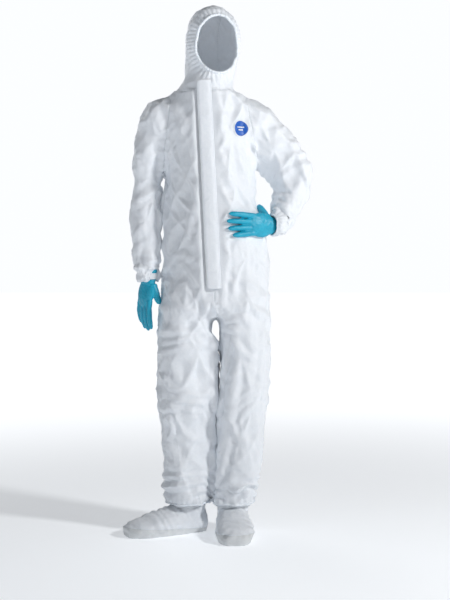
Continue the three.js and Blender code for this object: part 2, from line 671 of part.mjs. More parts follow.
function gloveForm({ curl, thumb }, grow) {
  const gauntlet = ovalTube([
    station(0, 0, -gauntletLength - 1, gloveCuffRadius, gloveCuffRadius - 2),
    station(0, 0, 0, gloveCuffRadius, gloveCuffRadius - 5),
    station(0, 0, 30, palmHalfWidth - 8, palmHalfThickness + 1),
  ], { grow, segments: 10, steps: 2, level: true });
  return unite([
    gauntlet,
    ball(at(0, 0, palmLength / 2), palmHalfWidth + grow, palmHalfThickness + grow,
      palmLength / 2 + grow, 10),
    ...fingers.map((finger, i) => fingerForm(finger, curl[i], grow)),
    thumbForm(thumb.clone().normalize(), grow),
  ]);
}

// A worn glove, hollow and open at its cuff, placed by the way its thumb and fingers point.
function glove(name, pose, wrist, thumbWay, fingersWay, mirrored) {
  const hollow = gloveForm(pose, 0).subtract(gloveForm(pose, -gloveWall))
    .trimByPlane([0, 0, 1], -gauntletLength);
  const along = fingersWay.clone().normalize();
  const across = thumbWay.clone().addScaledVector(along, -thumbWay.dot(along)).normalize();
  const palm = along.clone().cross(across).multiplyScalar(mirrored ? -1 : 1);
  const frame = new THREE.Matrix4().makeBasis(across, palm, along).setPosition(wrist);
  piece(suit, name, hollow.transform(frame.elements), nitrile);
}

const hangingWrist = at(hangingCuffX + 3, -12, waistLevel - 245);
glove("right_glove", { curl: [0.45, 0.55, 0.62, 0.7], thumb: at(0.36, 0.36, 0.86) },
  hangingWrist, at(0.6, -0.8, 0), at(-0.17, -0.04, -1), true);
glove("left_glove", { curl: [0.32, 0.36, 0.36, 0.32], thumb: at(0.6, 0.66, -0.1) },
  restWrist, at(0.02, 0.08, 1), restFingers, false);

// The suit stands on z = 0 with its box centred on the origin.
const extent = new THREE.Box3().setFromObject(suit);
const middle = extent.getCenter(at(0, 0, 0));
suit.position.set(-middle.x, -middle.y, -extent.min.z);

export default suit;
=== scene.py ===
import json
import math

import bmesh
import bpy
import numpy as np
from mathutils import Matrix, Vector, noise
from mathutils.bvhtree import BVHTree


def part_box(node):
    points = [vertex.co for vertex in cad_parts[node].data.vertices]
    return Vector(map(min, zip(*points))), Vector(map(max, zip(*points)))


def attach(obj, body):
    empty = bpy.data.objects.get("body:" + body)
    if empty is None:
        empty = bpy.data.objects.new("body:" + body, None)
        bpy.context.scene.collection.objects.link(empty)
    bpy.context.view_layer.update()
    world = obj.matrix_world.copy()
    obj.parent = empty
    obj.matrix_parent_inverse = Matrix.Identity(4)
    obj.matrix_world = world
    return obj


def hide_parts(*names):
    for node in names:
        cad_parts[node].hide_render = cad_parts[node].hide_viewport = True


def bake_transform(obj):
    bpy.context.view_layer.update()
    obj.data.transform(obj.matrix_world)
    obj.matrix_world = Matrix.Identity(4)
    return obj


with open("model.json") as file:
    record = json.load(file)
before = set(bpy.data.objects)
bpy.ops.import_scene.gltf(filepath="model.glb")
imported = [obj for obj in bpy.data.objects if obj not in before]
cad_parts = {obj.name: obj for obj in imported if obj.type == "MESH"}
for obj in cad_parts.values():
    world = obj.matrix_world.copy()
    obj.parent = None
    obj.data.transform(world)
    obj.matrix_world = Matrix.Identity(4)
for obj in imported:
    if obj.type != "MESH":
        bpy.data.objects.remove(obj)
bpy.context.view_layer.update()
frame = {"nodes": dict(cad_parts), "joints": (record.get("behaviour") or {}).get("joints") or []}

# Camera, light and floor. The suit stands on a pale studio sweep, seen from chest height through a
# long lens, with a broad soft light from its left and a weak fill from its right.
scene = bpy.context.scene
camera_far = 4.6  # metres from the suit's middle to the lens
camera_height = 1.0
aim_height = 0.788
camera_side = 0.0174
suit_depth_middle = 0.0457
view_angle = 24.8  # degrees from the top of the picture to its bottom

lens = bpy.data.cameras.new("camera")
lens.sensor_fit = "VERTICAL"
lens.angle = math.radians(view_angle)
camera = bpy.data.objects.new("camera", lens)
scene.collection.objects.link(camera)
camera.location = (camera_side, suit_depth_middle - camera_far, camera_height)
aim = Vector((camera_side, suit_depth_middle, aim_height))
camera.rotation_euler = (aim - camera.location).to_track_quat("-Z", "Y").to_euler()
scene.camera = camera
scene.view_settings.view_transform = "Standard"


def linear(hex_colour, alpha=1.0):
    """An sRGB hex colour as the linear values that a shader takes."""
    parts = [int(hex_colour[i:i + 2], 16) / 255 for i in (1, 3, 5)]
    return tuple(c / 12.92 if c <= 0.04045 else ((c + 0.055) / 1.055) ** 2.4 for c in parts) + (alpha,)


def soft_light(name, place, towards, width, watts, colour):
    """A square studio softbox that faces a point."""
    box = bpy.data.lights.new(name, "AREA")
    box.size = width
    box.energy = watts
    box.color = linear(colour)[:3]
    lamp = bpy.data.objects.new(name, box)
    scene.collection.objects.link(lamp)
    lamp.location = place
    lamp.rotation_euler = (Vector(towards) - Vector(place)).to_track_quat("-Z", "Y").to_euler()


chest = (0.0, 0.0, 1.05)
soft_light("key_softbox", (3.1, -2.0, 2.6), chest, 0.45, 100, "#FFFFFF")
soft_light("fill_softbox", (-2.6, -2.4, 1.5), chest, 1.6, 11, "#DDE8F5")
soft_light("back_softbox", (-1.6, 2.6, 2.4), chest, 1.6, 14, "#FFFFFF")


def node(tree, kind, links=(), **settings):
    """A shader node with its settings, and links given as (socket of this node, output)."""
    made = tree.nodes.new(kind)
    for name, value in settings.items():
        if name.startswith("in_"):
            socket = int(name[3:]) if name[3:].isdigit() else name[3:].replace("_", " ")
            made.inputs[socket].default_value = value
        else:
            setattr(made, name, value)
    for socket, output in links:
        tree.links.new(output, made.inputs[socket])
    return made


def blank_material(name, colour, roughness):
    """A material with only its shader, its colour and its roughness set."""
    made = bpy.data.materials.new(name)
    made.use_nodes = True
    shader = made.node_tree.nodes["Principled BSDF"]
    shader.inputs["Base Color"].default_value = linear(colour)
    shader.inputs["Roughness"].default_value = roughness
    return made, made.node_tree, shader


# The world lights the suit softly, and the camera sees it as a plain bright backdrop.
world = bpy.data.worlds.new("studio")
world.use_nodes = True
backdrop_white, ambient, backdrop_glow = "#FAFCFF", 0.14, 1.02
sky = world.node_tree.nodes["Background"]
sky.inputs["Color"].default_value = linear(backdrop_white)
seen = node(world.node_tree, "ShaderNodeLightPath")
strength = node(world.node_tree, "ShaderNodeMapRange", [(0, seen.outputs["Is Camera Ray"])],
                in_3=ambient, in_4=backdrop_glow)
world.node_tree.links.new(strength.outputs[0], sky.inputs["Strength"])
scene.world = world

# Studio floor of painted board: matt, with a faint mottle from the roller. It also glows with painted
# light, faintly near the suit and more away from it, until it is as bright as the backdrop, so that the
# two meet with no line.
board, board_tree, board_shader = blank_material("matt_painted_board", "#F2F5F8", 0.9)
board_place = node(board_tree, "ShaderNodeTexCoord").outputs["Object"]
board_mottle = node(board_tree, "ShaderNodeTexNoise", [("Vector", board_place)], in_Scale=9.0,
                    in_Detail=4.0)
board_tones = node(board_tree, "ShaderNodeMapRange", [(0, board_mottle.outputs[0])], in_3=0.86, in_4=0.94)
board_tree.links.new(board_tones.outputs[0], board_shader.inputs["Roughness"])
from_suit = node(board_tree, "ShaderNodeVectorMath", [(0, board_place)], operation="LENGTH")
# Painted light: the floor's own glow, weakest by the suit and growing with distance from it.
painted_floor_glow = node(board_tree, "ShaderNodeMapRange", [(0, from_suit.outputs["Value"])],
                interpolation_type="SMOOTHSTEP", in_1=0.8, in_2=4.5, in_3=0.38, in_4=0.93)
board_shader.inputs["Emission Color"].default_value = linear(backdrop_white)
board_tree.links.new(painted_floor_glow.outputs[0], board_shader.inputs["Emission Strength"])

floor = bmesh.new()
bmesh.ops.create_grid(floor, x_segments=4, y_segments=4, size=20.0)
floor_mesh = bpy.data.meshes.new("studio_floor")
floor.to_mesh(floor_mesh)
floor.free()
floor_mesh.materials.append(board)
studio = bpy.data.objects.new("studio_floor", floor_mesh)
scene.collection.objects.link(studio)

# The garment's pattern, sewn up. A suit is cut as tubes for the trunk, legs, arms and hood, and this
# is the whole of it as one smooth skin, before it hangs. Ovals are (x, y, z, half width, half depth).
front_at_crotch, front_lean, crotch = -0.0823, 0.0524, 0.751
flattened = 0.004
between_legs_x = -0.0175


def chest_oval(x, z, wide, deep):
    """A level oval of the trunk, whose front lies on the leaning line of the zip."""
    front = front_at_crotch + front_lean * (z - crotch)
    return (x, front + deep - flattened, z, wide, deep)


trunk_ovals = [
    (-0.0136, 0.036, 0.741, 0.128, 0.092), chest_oval(-0.013, 0.775, 0.172, 0.119),
    chest_oval(-0.008, 0.852, 0.180, 0.128), chest_oval(-0.006, 0.936, 0.173, 0.129),
    chest_oval(-0.016, 1.03, 0.157, 0.122), chest_oval(-0.026, 1.11, 0.148, 0.115),
    chest_oval(-0.025, 1.195, 0.151, 0.118), chest_oval(-0.033, 1.293, 0.160, 0.122),
    chest_oval(-0.037, 1.39, 0.172, 0.115), chest_oval(-0.040, 1.438, 0.166, 0.102),
    chest_oval(-0.045, 1.466, 0.130, 0.090), chest_oval(-0.048, 1.487, 0.088, 0.079),
    chest_oval(-0.044, 1.515, 0.084, 0.081)]
leg_ovals = {
    "right": [
        (-0.1076, 0.051, 0.080, 0.062, 0.068), (-0.1076, 0.051, 0.108, 0.065, 0.070),
        (-0.1046, 0.055, 0.174, 0.074, 0.082), (-0.1106, 0.052, 0.262, 0.075, 0.084),
        (-0.1176, 0.042, 0.360, 0.074, 0.084), (-0.1186, 0.032, 0.446, 0.088, 0.092),
        (-0.117, 0.034, 0.581, 0.086, 0.097), (-0.1155, 0.037, 0.700, 0.086, 0.108),
        (-0.108, 0.038, 0.776, 0.089, 0.117), (-0.095, 0.050, 0.900, 0.070, 0.096)],
    "left": [
        (0.0434, 0.044, 0.080, 0.064, 0.068), (0.0434, 0.044, 0.108, 0.066, 0.070),
        (0.0554, 0.048, 0.174, 0.074, 0.082), (0.0670, 0.046, 0.262, 0.080, 0.084),
        (0.0720, 0.041, 0.360, 0.072, 0.082), (0.0764, 0.034, 0.456, 0.080, 0.090),
        (0.0885, 0.034, 0.581, 0.085, 0.097), (0.0865, 0.037, 0.700, 0.086, 0.108),
        (0.079, 0.038, 0.776, 0.089, 0.117), (0.077, 0.050, 0.900, 0.070, 0.096)]}
arm_ovals = {
    "right": [
        (-0.2044, 0.066, 1.432, 0.052, 0.070), (-0.2374, 0.068, 1.330, 0.053, 0.070),
        (-0.2510, 0.071, 1.220, 0.050, 0.064), (-0.2536, 0.070, 1.055, 0.054, 0.060),
        (-0.2506, 0.056, 0.965, 0.045, 0.053), (-0.2456, 0.038, 0.900, 0.040, 0.047),
        (-0.2420, 0.035, 0.877, 0.036, 0.038), (-0.2396, 0.034, 0.853, 0.035, 0.037)],
    "left": [
        (0.0936, 0.063, 1.375, 0.078, 0.066), (0.1516, 0.071, 1.337, 0.082, 0.072),
        (0.2136, 0.081, 1.287, 0.070, 0.066), (0.2646, 0.084, 1.218, 0.059, 0.061),
        (0.2586, 0.076, 1.164, 0.052, 0.056), (0.2326, 0.060, 1.114, 0.048, 0.050),
        (0.2121, 0.0345, 1.056, 0.044, 0.044), (0.1916, 0.0186, 1.0386, 0.036, 0.038),
        (0.1740, 0.0050, 1.039, 0.035, 0.037)]}
shoulder_hinge = {j["name"].split("_")[0]: Vector(j["pos_m"]) for j in frame["joints"]
                  if j["name"].endswith("sleeve_raise")}
shoulder_size = {"right": (0.080, 0.084, 0.080), "left": (0.078, 0.075, 0.080)}
neck_level = 1.485
hood_ovals = [
    (-0.0480, 0.0360, 1.480, 0.088, 0.079), (-0.0390, 0.0400, 1.520, 0.082, 0.081),
    (-0.0296, 0.0520, 1.562, 0.082, 0.092), (-0.0276, 0.0580, 1.609, 0.091, 0.109),
    (-0.0256, 0.0630, 1.662, 0.095, 0.118), (-0.0256, 0.0600, 1.709, 0.086, 0.109),
    (-0.0276, 0.0560, 1.747, 0.066, 0.085), (-0.0296, 0.0540, 1.770, 0.040, 0.052),
    (-0.0300, 0.0530, 1.779, 0.014, 0.018)]


def sew_tube(form, ovals, level):
    """Adds a closed tube through ovals. Its rings are level, or square to the way it runs."""
    centres = [Vector(o[:3]) for o in ovals]
    ahead = Vector((0, -1, 0))
    loop, before = None, None
    for i, oval in enumerate(ovals):
        along = (centres[min(i + 1, len(centres) - 1)] - centres[max(i - 1, 0)]).normalized()
        if level:
            along = Vector((0, 0, 1))
        side = along.cross(ahead).normalized()
        place = Matrix((side * oval[3], along.cross(side) * oval[4], along)).transposed().to_4x4()
        place.translation = centres[i]
        if loop is None:
            ring = bmesh.ops.create_circle(form, cap_ends=True, radius=1.0, segments=28, matrix=place)
            loop = list({e for v in ring["verts"] for e in v.link_edges})
        else:
            grown = bmesh.ops.extrude_edge_only(form, edges=loop)["geom"]
            ring = [v for v in grown if isinstance(v, bmesh.types.BMVert)]
            bmesh.ops.transform(form, matrix=place @ before.inverted(), verts=ring)
            fresh = set(ring)
            loop = [e for e in grown if isinstance(e, bmesh.types.BMEdge) and set(e.verts) <= fresh]
        before = place
    bmesh.ops.contextual_create(form, geom=loop)


form = bmesh.new()
sew_tube(form, trunk_ovals, level=True)
sew_tube(form, hood_ovals, level=True)
for side in ("right", "left"):
    sew_tube(form, leg_ovals[side], level=True)
    sew_tube(form, arm_ovals[side], level=False)
    round_cap = Matrix.Translation(shoulder_hinge[side]) @ Matrix.Diagonal((*shoulder_size[side], 1))
    bmesh.ops.create_uvsphere(form, u_segments=24, v_segments=16, radius=1.0, matrix=round_cap)
bmesh.ops.recalc_face_normals(form, faces=form.faces)
form_mesh = bpy.data.meshes.new("sewn_form")
form.to_mesh(form_mesh)
form.free()
sewn = bpy.data.objects.new("sewn_form", form_mesh)
scene.collection.objects.link(sewn)


def applied(obj, name):
    """The mesh of an object with its modifiers worked out."""
    graph = bpy.context.evaluated_depsgraph_get()
    made = bpy.data.meshes.new_from_object(obj.evaluated_get(graph), depsgraph=graph)
    made.name = name
    return made


def skin(voxel, inset, rounds):
    """The sewn form as one even skin, moved inwards by inset and smoothed."""
    sewn.modifiers.clear()
    remesh = sewn.modifiers.new("remesh", "REMESH")
    remesh.mode = "VOXEL"
    remesh.voxel_size = voxel
    smooth = sewn.modifiers.new("smooth", "SMOOTH")
    smooth.factor, smooth.iterations = 0.5, rounds
    if inset:
        shrink = sewn.modifiers.new("inset", "DISPLACE")
        shrink.mid_level, shrink.strength = 0.0, -inset
    made = applied(sewn, "skin")
    sewn.modifiers.clear()
    return made


cloth_spacing = 0.0105
garment_mesh = skin(cloth_spacing, 0.0, 7)
wearer_mesh = skin(0.012, 0.016, 6)
bpy.data.objects.remove(sewn)


def points_of(mesh):
    """A mesh's points as rows of x, y, z."""
    flat = np.empty(len(mesh.vertices) * 3)
    mesh.vertices.foreach_get("co", flat)
    return flat.reshape(-1, 3)


# The drape. The sewn suit is put on an invisible wearer and let fall: the cloth is a little too long
# and wide everywhere, so that it hangs in folds, bunches at the joints and sits on its hems.
zip_joint = next(j for j in frame["joints"] if j["name"] == "zip_slide")
zip_up = Vector(zip_joint["axis"]).normalized()
teeth_low, teeth_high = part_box("right_zip_teeth")[0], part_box("left_zip_teeth")[1]
zip_foot = Vector((-0.01859, -0.07738, 0.845))
zip_side = (Vector((1, 0, 0)) - zip_up * zip_up.x).normalized()
zip_in = zip_up.cross(zip_side)
zip_axes = np.array([zip_side, zip_in, zip_up])

face_low, face_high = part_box("hood_face_elastic_hem")
hood_turn = math.radians(13)
hood_across = np.array((math.cos(hood_turn), math.sin(hood_turn), 0.0))
hood_ahead = np.array((math.sin(hood_turn), -math.cos(hood_turn), 0.0))
face_centre = np.array((-0.0256, 0.0557, (face_low.z + face_high.z) / 2))
face_half_width, face_half_height = 0.071, 0.094


def smooth_step(values, start, end):
    """0 before start, 1 after end, and smooth between them."""
    t = np.clip((values - start) / (end - start), 0, 1)
    return t * t * (3 - 2 * t)


def face_share(points):
    """How far out from the middle of the face opening each point lies: 1 on the opening's edge."""
    out = points - face_centre
    share = np.hypot(out @ hood_across / face_half_width, out[:, 2] / face_half_height)
    return np.where((out @ hood_ahead > 0.02) & (points[:, 2] > neck_level), share, 9.0)


def zip_place(points):
    """Points in the zip's own frame: across it, inwards and along it."""
    return (points - np.array(zip_foot)) @ zip_axes.T


wrists = {side: Vector(arm_ovals[side][-1][:3]) for side in ("right", "left")}


def wrist_share(points, side):
    """Distance up the sleeve from the cuff's edge."""
    end, before = (Vector(arm_ovals[side][i][:3]) for i in (-1, -2))
    along = np.array((before - end).normalized())
    out = points - np.array(end)
    near = np.linalg.norm(out - np.outer(out @ along, along), axis=1) < 0.06
    return np.where(near, out @ along, 9.0)


rest = points_of(garment_mesh)
across_zip, into_zip, up_zip = zip_place(rest).T
held = 1 - smooth_step(face_share(rest), 1.16, 1.5)
for side in ("right", "left"):
    held = np.maximum(held, 1 - smooth_step(wrist_share(rest, side), 0.012, 0.03))
held = np.maximum(held, 1 - smooth_step(rest[:, 2], 0.108, 0.125))
on_zip = (up_zip > -0.02) & (into_zip < 0.05) & (rest[:, 2] < 1.53)
held = np.maximum(held, on_zip * 0.85 * (1 - smooth_step(np.abs(across_zip), 0.022, 0.05)))

knees = np.exp(-((rest[:, 2] - 0.44) / 0.10) ** 2)
crotch_ease = np.exp(-((rest[:, 2] - 0.80) / 0.10) ** 2)
ankles = np.exp(-((rest[:, 2] - 0.17) / 0.07) ** 2)
arm_side = (rest[:, 0] < -0.192) | ((rest[:, 0] > 0.145) & (rest[:, 2] > 1.0))
bend = {"right": Vector(arm_ovals["right"][3][:3]), "left": Vector(arm_ovals["left"][3][:3])}
elbows = sum(
    np.exp(-(np.linalg.norm(rest - np.array(bend[side]), axis=1) / 0.13) ** 2) for side in bend)
ease = np.clip(0.35 + 0.55 * knees + 0.6 * crotch_ease + 0.65 * ankles, 0, 1)
ease = np.where(arm_side, np.clip(0.6 + 0.5 * elbows, 0, 1), ease)
ease = np.where(rest[:, 2] > neck_level, 0.25, ease)

garment = bpy.data.objects.new("garment", garment_mesh)
wearer = bpy.data.objects.new("wearer", wearer_mesh)
for part in (garment, wearer):
    scene.collection.objects.link(part)
wearer.modifiers.new("solid_body", "COLLISION")
wearer.collision.thickness_outer = 0.004
wearer.collision.cloth_friction = 8

divider = bmesh.new()
bmesh.ops.create_grid(divider, x_segments=10, y_segments=20, size=0.5)
upright = Matrix.Rotation(math.radians(90), 4, "Y")
bmesh.ops.transform(divider, matrix=upright, verts=divider.verts)
bmesh.ops.scale(divider, vec=(1, 0.5, 0.63), verts=divider.verts)
bmesh.ops.translate(divider, vec=(between_legs_x, 0.05, 0.36), verts=divider.verts)
divider_mesh = bpy.data.meshes.new("between_legs")
divider.to_mesh(divider_mesh)
divider.free()
between = bpy.data.objects.new("between_legs", divider_mesh)
scene.collection.objects.link(between)
between.modifiers.new("solid_sheet", "COLLISION")
between.collision.thickness_outer = 0.002


def weigh(obj, name, weights):
    """A vertex group that holds one weight for each point, in steps of a fortieth."""
    group = obj.vertex_groups.new(name=name)
    steps = np.round(np.clip(weights, 0, 1) * 40).astype(int)
    for step in np.unique(steps):
        if step:
            group.add(np.nonzero(steps == step)[0].tolist(), step / 40, "REPLACE")
    return group.name


drape = garment.modifiers.new("drape", "CLOTH")
settings = drape.settings
settings.quality = 5
settings.mass = 0.15
settings.air_damping = 1.5
settings.tension_stiffness = settings.compression_stiffness = 22
settings.shear_stiffness = 8
settings.bending_stiffness = 0.12
settings.tension_damping = settings.compression_damping = 6
settings.vertex_group_mass = weigh(garment, "held", held)
settings.pin_stiffness = 1.0
settings.vertex_group_shrink = weigh(garment, "ease", ease)
settings.shrink_min = -0.01
settings.shrink_max = -0.13
drape.collision_settings.collision_quality = 2
drape.collision_settings.distance_min = 0.003
drape.collision_settings.use_self_collision = False

drape_frames = 34
scene.frame_start, scene.frame_end = 1, drape_frames
drape.point_cache.frame_end = drape_frames
for step in range(1, drape_frames + 1):
    scene.frame_set(step)
draped_mesh = applied(garment, "draped")
draped = points_of(draped_mesh)
furthest = 0.045  # how far a fold may stand from the sewn form
moved = draped - rest
length = np.linalg.norm(moved, axis=1, keepdims=True)
draped = rest + moved * np.minimum(1, furthest / np.maximum(length, 1e-9))
scene.frame_set(1)
for part in (garment, wearer, between):
    bpy.data.objects.remove(part)

# Creases. Spun-bonded cloth is papery, so it keeps sharp creases of its own on top of the drape: a
# crumple all over, folds stacked at the ankles, knees, elbows and crotch, and gathers at each elastic.
draped_mesh.vertices.foreach_set("co", draped.ravel())
draped_mesh.attributes.new("pattern", "FLOAT_VECTOR", "POINT").data.foreach_set("vector", rest.ravel())
cloth = bpy.data.objects.new("cloth", draped_mesh)
scene.collection.objects.link(cloth)
relax = cloth.modifiers.new("relax", "SMOOTH")
relax.factor, relax.iterations = 0.5, 1
finer = cloth.modifiers.new("finer", "SUBSURF")
finer.levels = finer.render_levels = 1
cloth_mesh = applied(cloth, "cloth")
bpy.data.objects.remove(cloth)

side_seam_y = 0.0517
waist_level = 1.11
hood_panel_half = 0.044
gusset_middle = Vector((-0.0146, 0.0517, crotch))
gusset_half = 0.062
gusset_stretch = 1.3
slot_half = 0.007
armhole_line = {  # side to side place of the gap between trunk and arm, by level
    "right": ((0.85, 0.95, 1.05, 1.22, 1.30, 1.46), (-0.1965, -0.193, -0.188, -0.1935, -0.191, -0.165)),
    "left": ((1.00, 1.02, 1.05, 1.10, 1.25, 1.46), (0.160, 0.152, 0.147, 0.146, 0.135, 0.085))}


def centre_x(z):
    """Where the middle seam lies, side to side: on the zip's line above the crotch."""
    on_line = zip_foot.x + (z - zip_foot.z) * zip_up.x / zip_up.z
    return on_line if z > crotch - 0.03 else between_legs_x


def panel_of(point):
    """The name of the cloth panel that a point of the pattern belongs to."""
    x, y, z = point
    if z > neck_level:
        out = np.array(point) - face_centre
        if abs(out @ hood_across) < hood_panel_half and not (out @ hood_ahead > 0 and z < face_centre[2]):
            return "hood_centre_panel"
        return "hood_right_side" if out @ hood_across < 0 else "hood_left_side"
    if z > 0.84 and x < np.interp(z, *armhole_line["right"]):
        return "right_sleeve"
    if z > 1.0 and x > np.interp(z, *armhole_line["left"]):
        return "left_sleeve"
    side = "right" if x < centre_x(z) else "left"
    from_gusset = abs(x - gusset_middle.x) + abs(y - gusset_middle.y) / gusset_stretch
    if 0.715 < z < 0.79 and from_gusset < gusset_half:
        return "crotch_gusset"
    if y < side_seam_y:
        return side + "_front"
    return "upper_back" if z > waist_level else side + "_seat_and_leg_back"


panels = ["right_front", "left_front", "upper_back", "right_seat_and_leg_back", "left_seat_and_leg_back",
          "crotch_gusset", "right_sleeve", "left_sleeve",
          "hood_centre_panel", "hood_right_side", "hood_left_side"]

cut = bmesh.new()
cut.from_mesh(cloth_mesh)
bpy.data.meshes.remove(cloth_mesh)
pattern_layer = cut.verts.layers.float_vector["pattern"]
hung_layer = cut.verts.layers.float_vector.new("hung")
panel_layer = cut.faces.layers.int.new("panel")
for v in cut.verts:
    v[hung_layer] = v.co
    v.co = v[pattern_layer]


def shear(plane_point, plane_normal, near):
    """Cuts the flat pattern along a plane, but only the faces whose middle passes a test."""
    faces = [f for f in cut.faces if near(f.calc_center_median())]
    edges = {e for f in faces for e in f.edges}
    verts = {v for f in faces for v in f.verts}
    bmesh.ops.bisect_plane(
        cut, geom=[*faces, *edges, *verts], plane_co=plane_point, plane_no=plane_normal, dist=1e-5)


def on_body(c):
    """Whether a point of the pattern is on the trunk or a leg."""
    return panel_of(c).endswith(("front", "back", "gusset"))


shear((0, 0, neck_level), (0, 0, 1), lambda c: abs(c.z - neck_level) < 0.03)
for side in ("right", "left"):
    levels, places = armhole_line[side]
    low, high = Vector((places[-2], 0, levels[-2])), Vector((places[-1], 0, levels[-1]))
    across_line = (high - low).cross(Vector((0, 1, 0)))
    shear(low, across_line, lambda c: levels[-2] - 0.06 < c.z < neck_level and abs(c.x - low.x) < 0.12)
shear((0, side_seam_y, 0), (0, 1, 0), lambda c: abs(c.y - side_seam_y) < 0.02 and on_body(c))
shear((0, 0, waist_level), (0, 0, 1),
      lambda c: abs(c.z - waist_level) < 0.02 and c.y > side_seam_y and on_body(c))
for offset in (-slot_half, 0, slot_half):
    shear(zip_foot + zip_side * offset, zip_side,
          lambda c: crotch - 0.04 < c.z < 1.6 and abs(c.x - centre_x(c.z)) < 0.03 and c.y < side_seam_y)
shear(zip_foot, zip_side,
      lambda c: crotch - 0.04 < c.z < waist_level + 0.02 and abs(c.x - centre_x(c.z)) < 0.03)
for x_way, y_way in ((1, 1), (1, -1), (-1, 1), (-1, -1)):
    corner = gusset_middle + Vector((x_way * gusset_half, 0, 0))
    outwards = Vector((x_way, y_way / gusset_stretch, 0))
    shear(corner, outwards, lambda c: 0.71 < c.z < 0.795 and
          (c.x - gusset_middle.x) * x_way > -0.01 and (c.y - gusset_middle.y) * y_way > -0.01)
across, ahead = Vector(hood_across), Vector(hood_ahead)
middle = Vector(face_centre)
for offset in (-hood_panel_half, hood_panel_half):
    shear(middle + across * offset, across,
          lambda c: c.z > neck_level and abs((c - middle).dot(across) - offset) < 0.02
          and not ((c - middle).dot(ahead) > 0.01 and c.z < middle.z))
shear(middle, across, lambda c: neck_level < c.z < middle.z and (c - middle).dot(ahead) > 0
      and abs((c - middle).dot(across)) < 0.02)

# The openings: the face, the slot that the zip fills, the two cuffs and the two leg hems.
fine_edges = {e for f in cut.faces for e in f.edges
              if face_share(np.array([f.calc_center_median()]))[0] < 1.9}
for side in ("right", "left"):
    fine_edges |= {e for f in cut.faces for e in f.edges
                   if wrist_share(np.array([f.calc_center_median()]), side)[0] < 0.05}
bmesh.ops.subdivide_edges(cut, edges=list(fine_edges), cuts=1, use_grid_fill=True)
for side in ("right", "left"):
    end, before = (Vector(arm_ovals[side][i][:3]) for i in (-1, -2))
    along = (before - end).normalized()
    near = [f for f in cut.faces if (f.calc_center_median() - end).length < 0.075
            and panel_of(f.calc_center_median()) == side + "_sleeve"]
    bmesh.ops.bisect_plane(
        cut, geom=[*near, *{e for f in near for e in f.edges}, *{v for f in near for v in f.verts}],
        plane_co=end + along * 0.004, plane_no=along, clear_inner=True, dist=1e-5)
leg_hem = 0.104
low_faces = [f for f in cut.faces if f.calc_center_median().z < leg_hem + 0.03]
low_edges, low_points = {e for f in low_faces for e in f.edges}, {v for f in low_faces for v in f.verts}
bmesh.ops.bisect_plane(cut, geom=[*low_faces, *low_edges, *low_points], plane_co=(0, 0, leg_hem),
                       plane_no=(0, 0, 1), clear_inner=True, dist=1e-5)
open_faces = []
for f in cut.faces:
    c = f.calc_center_median()
    place = zip_place(np.array([c]))[0]
    in_slot = abs(place[0]) < slot_half and -0.006 < place[2] < 0.64 and c.y < side_seam_y
    if in_slot or face_share(np.array([c]))[0] < 1.0:
        open_faces.append(f)
bmesh.ops.delete(cut, geom=open_faces, context="FACES")

# The face opening's edge is drawn onto its ellipse, because the cloth's own squares cut it in steps.
for v in cut.verts:
    if v.is_boundary and v.co.z > neck_level + 0.02:
        share = float(face_share(np.array([v.co]))[0])
        if share < 1.3:
            out = v.co - middle
            drawn = (out.dot(across) / share * across + Vector((0, 0, out.z / share))
                     + out.dot(ahead) * ahead)
            v[hung_layer] = v[hung_layer] + (middle + drawn - v.co)
            v.co = middle + drawn
for f in cut.faces:
    f[panel_layer] = panels.index(panel_of(f.calc_center_median()))
    f.smooth = True
for v in cut.verts:
    v[pattern_layer] = v.co
    v.co = v[hung_layer]
cut.normal_update()


def wavering(points, size, shift):
    """Smooth noise from -1 to 1 at a given size in metres."""
    return np.array([noise.noise(Vector(p) / size + Vector((shift, shift * 2, 0))) for p in points])


def creases(points, size, shift):
    """A crumple of a given size: 1 along its sharp ridges, and less in the hollows between."""
    return 1 - 2 * np.abs(wavering(points, size, shift))


def folds(points, along, spacing, waver, shift):
    """Folds stacked along a direction, rounded on top and sharp below, that waver and break."""
    lag = wavering(points, 0.11, shift)
    strength = 0.62 + 0.9 * wavering(points, 0.07, shift + 3)
    wave = np.abs(np.sin(np.pi * (along / spacing + waver * lag)))
    return (0.4 * wave + 0.6 * np.arcsin(wave) / (np.pi / 2)) * np.clip(strength, 0.1, 1)


cut.verts.ensure_lookup_table()
pattern = np.array([v[pattern_layer] for v in cut.verts])
hung = np.array([v.co for v in cut.verts])
outwards = np.array([v.normal for v in cut.verts])
panel_at = [panels[v.link_faces[0][panel_layer]] if v.link_faces else "" for v in cut.verts]
on_leg = np.array([p.endswith(("front", "back", "gusset")) for p in panel_at]) & (pattern[:, 2] < 0.80)
on_trunk = np.array([p.endswith(("front", "back")) for p in panel_at])
on_hood = np.array([p.startswith("hood") for p in panel_at])

x, y, z = pattern.T
leaning = [np.stack([x + lean * z, y, z * 0.42], axis=1) for lean in (0.45, -0.45)]
raised = 0.0125 * (np.maximum(creases(leaning[0], 0.066, 1.0), creases(leaning[1], 0.066, 45.0)) - 0.55)
raised += 0.0022 * creases(pattern, 0.040, 5.0) + 0.0006 * creases(pattern, 0.015, 9.0)
raised *= np.where(on_hood, 0.55, 1.0)
turn = np.arctan2(y - 0.045, x - np.where(x < between_legs_x, -0.11, 0.075))
ankle = np.exp(-((z - 0.165) / 0.055) ** 2) * on_leg
raised += 0.017 * ankle * folds(pattern, z + 0.012 * np.sin(turn * 2), 0.036, 1.1, 12.0)
shin = np.exp(-((z - 0.27) / 0.07) ** 2) * on_leg
raised += 0.006 * shin * folds(pattern, z + 0.8 * x, 0.060, 1.9, 15.0)
knee = np.exp(-((z - 0.45) / 0.085) ** 2) * on_leg
raised += 0.007 * knee * folds(pattern, z - 0.9 * np.abs(x - between_legs_x), 0.064, 1.9, 18.0)
from_crotch = np.hypot((x + 0.015) * 0.8, z - 0.70)
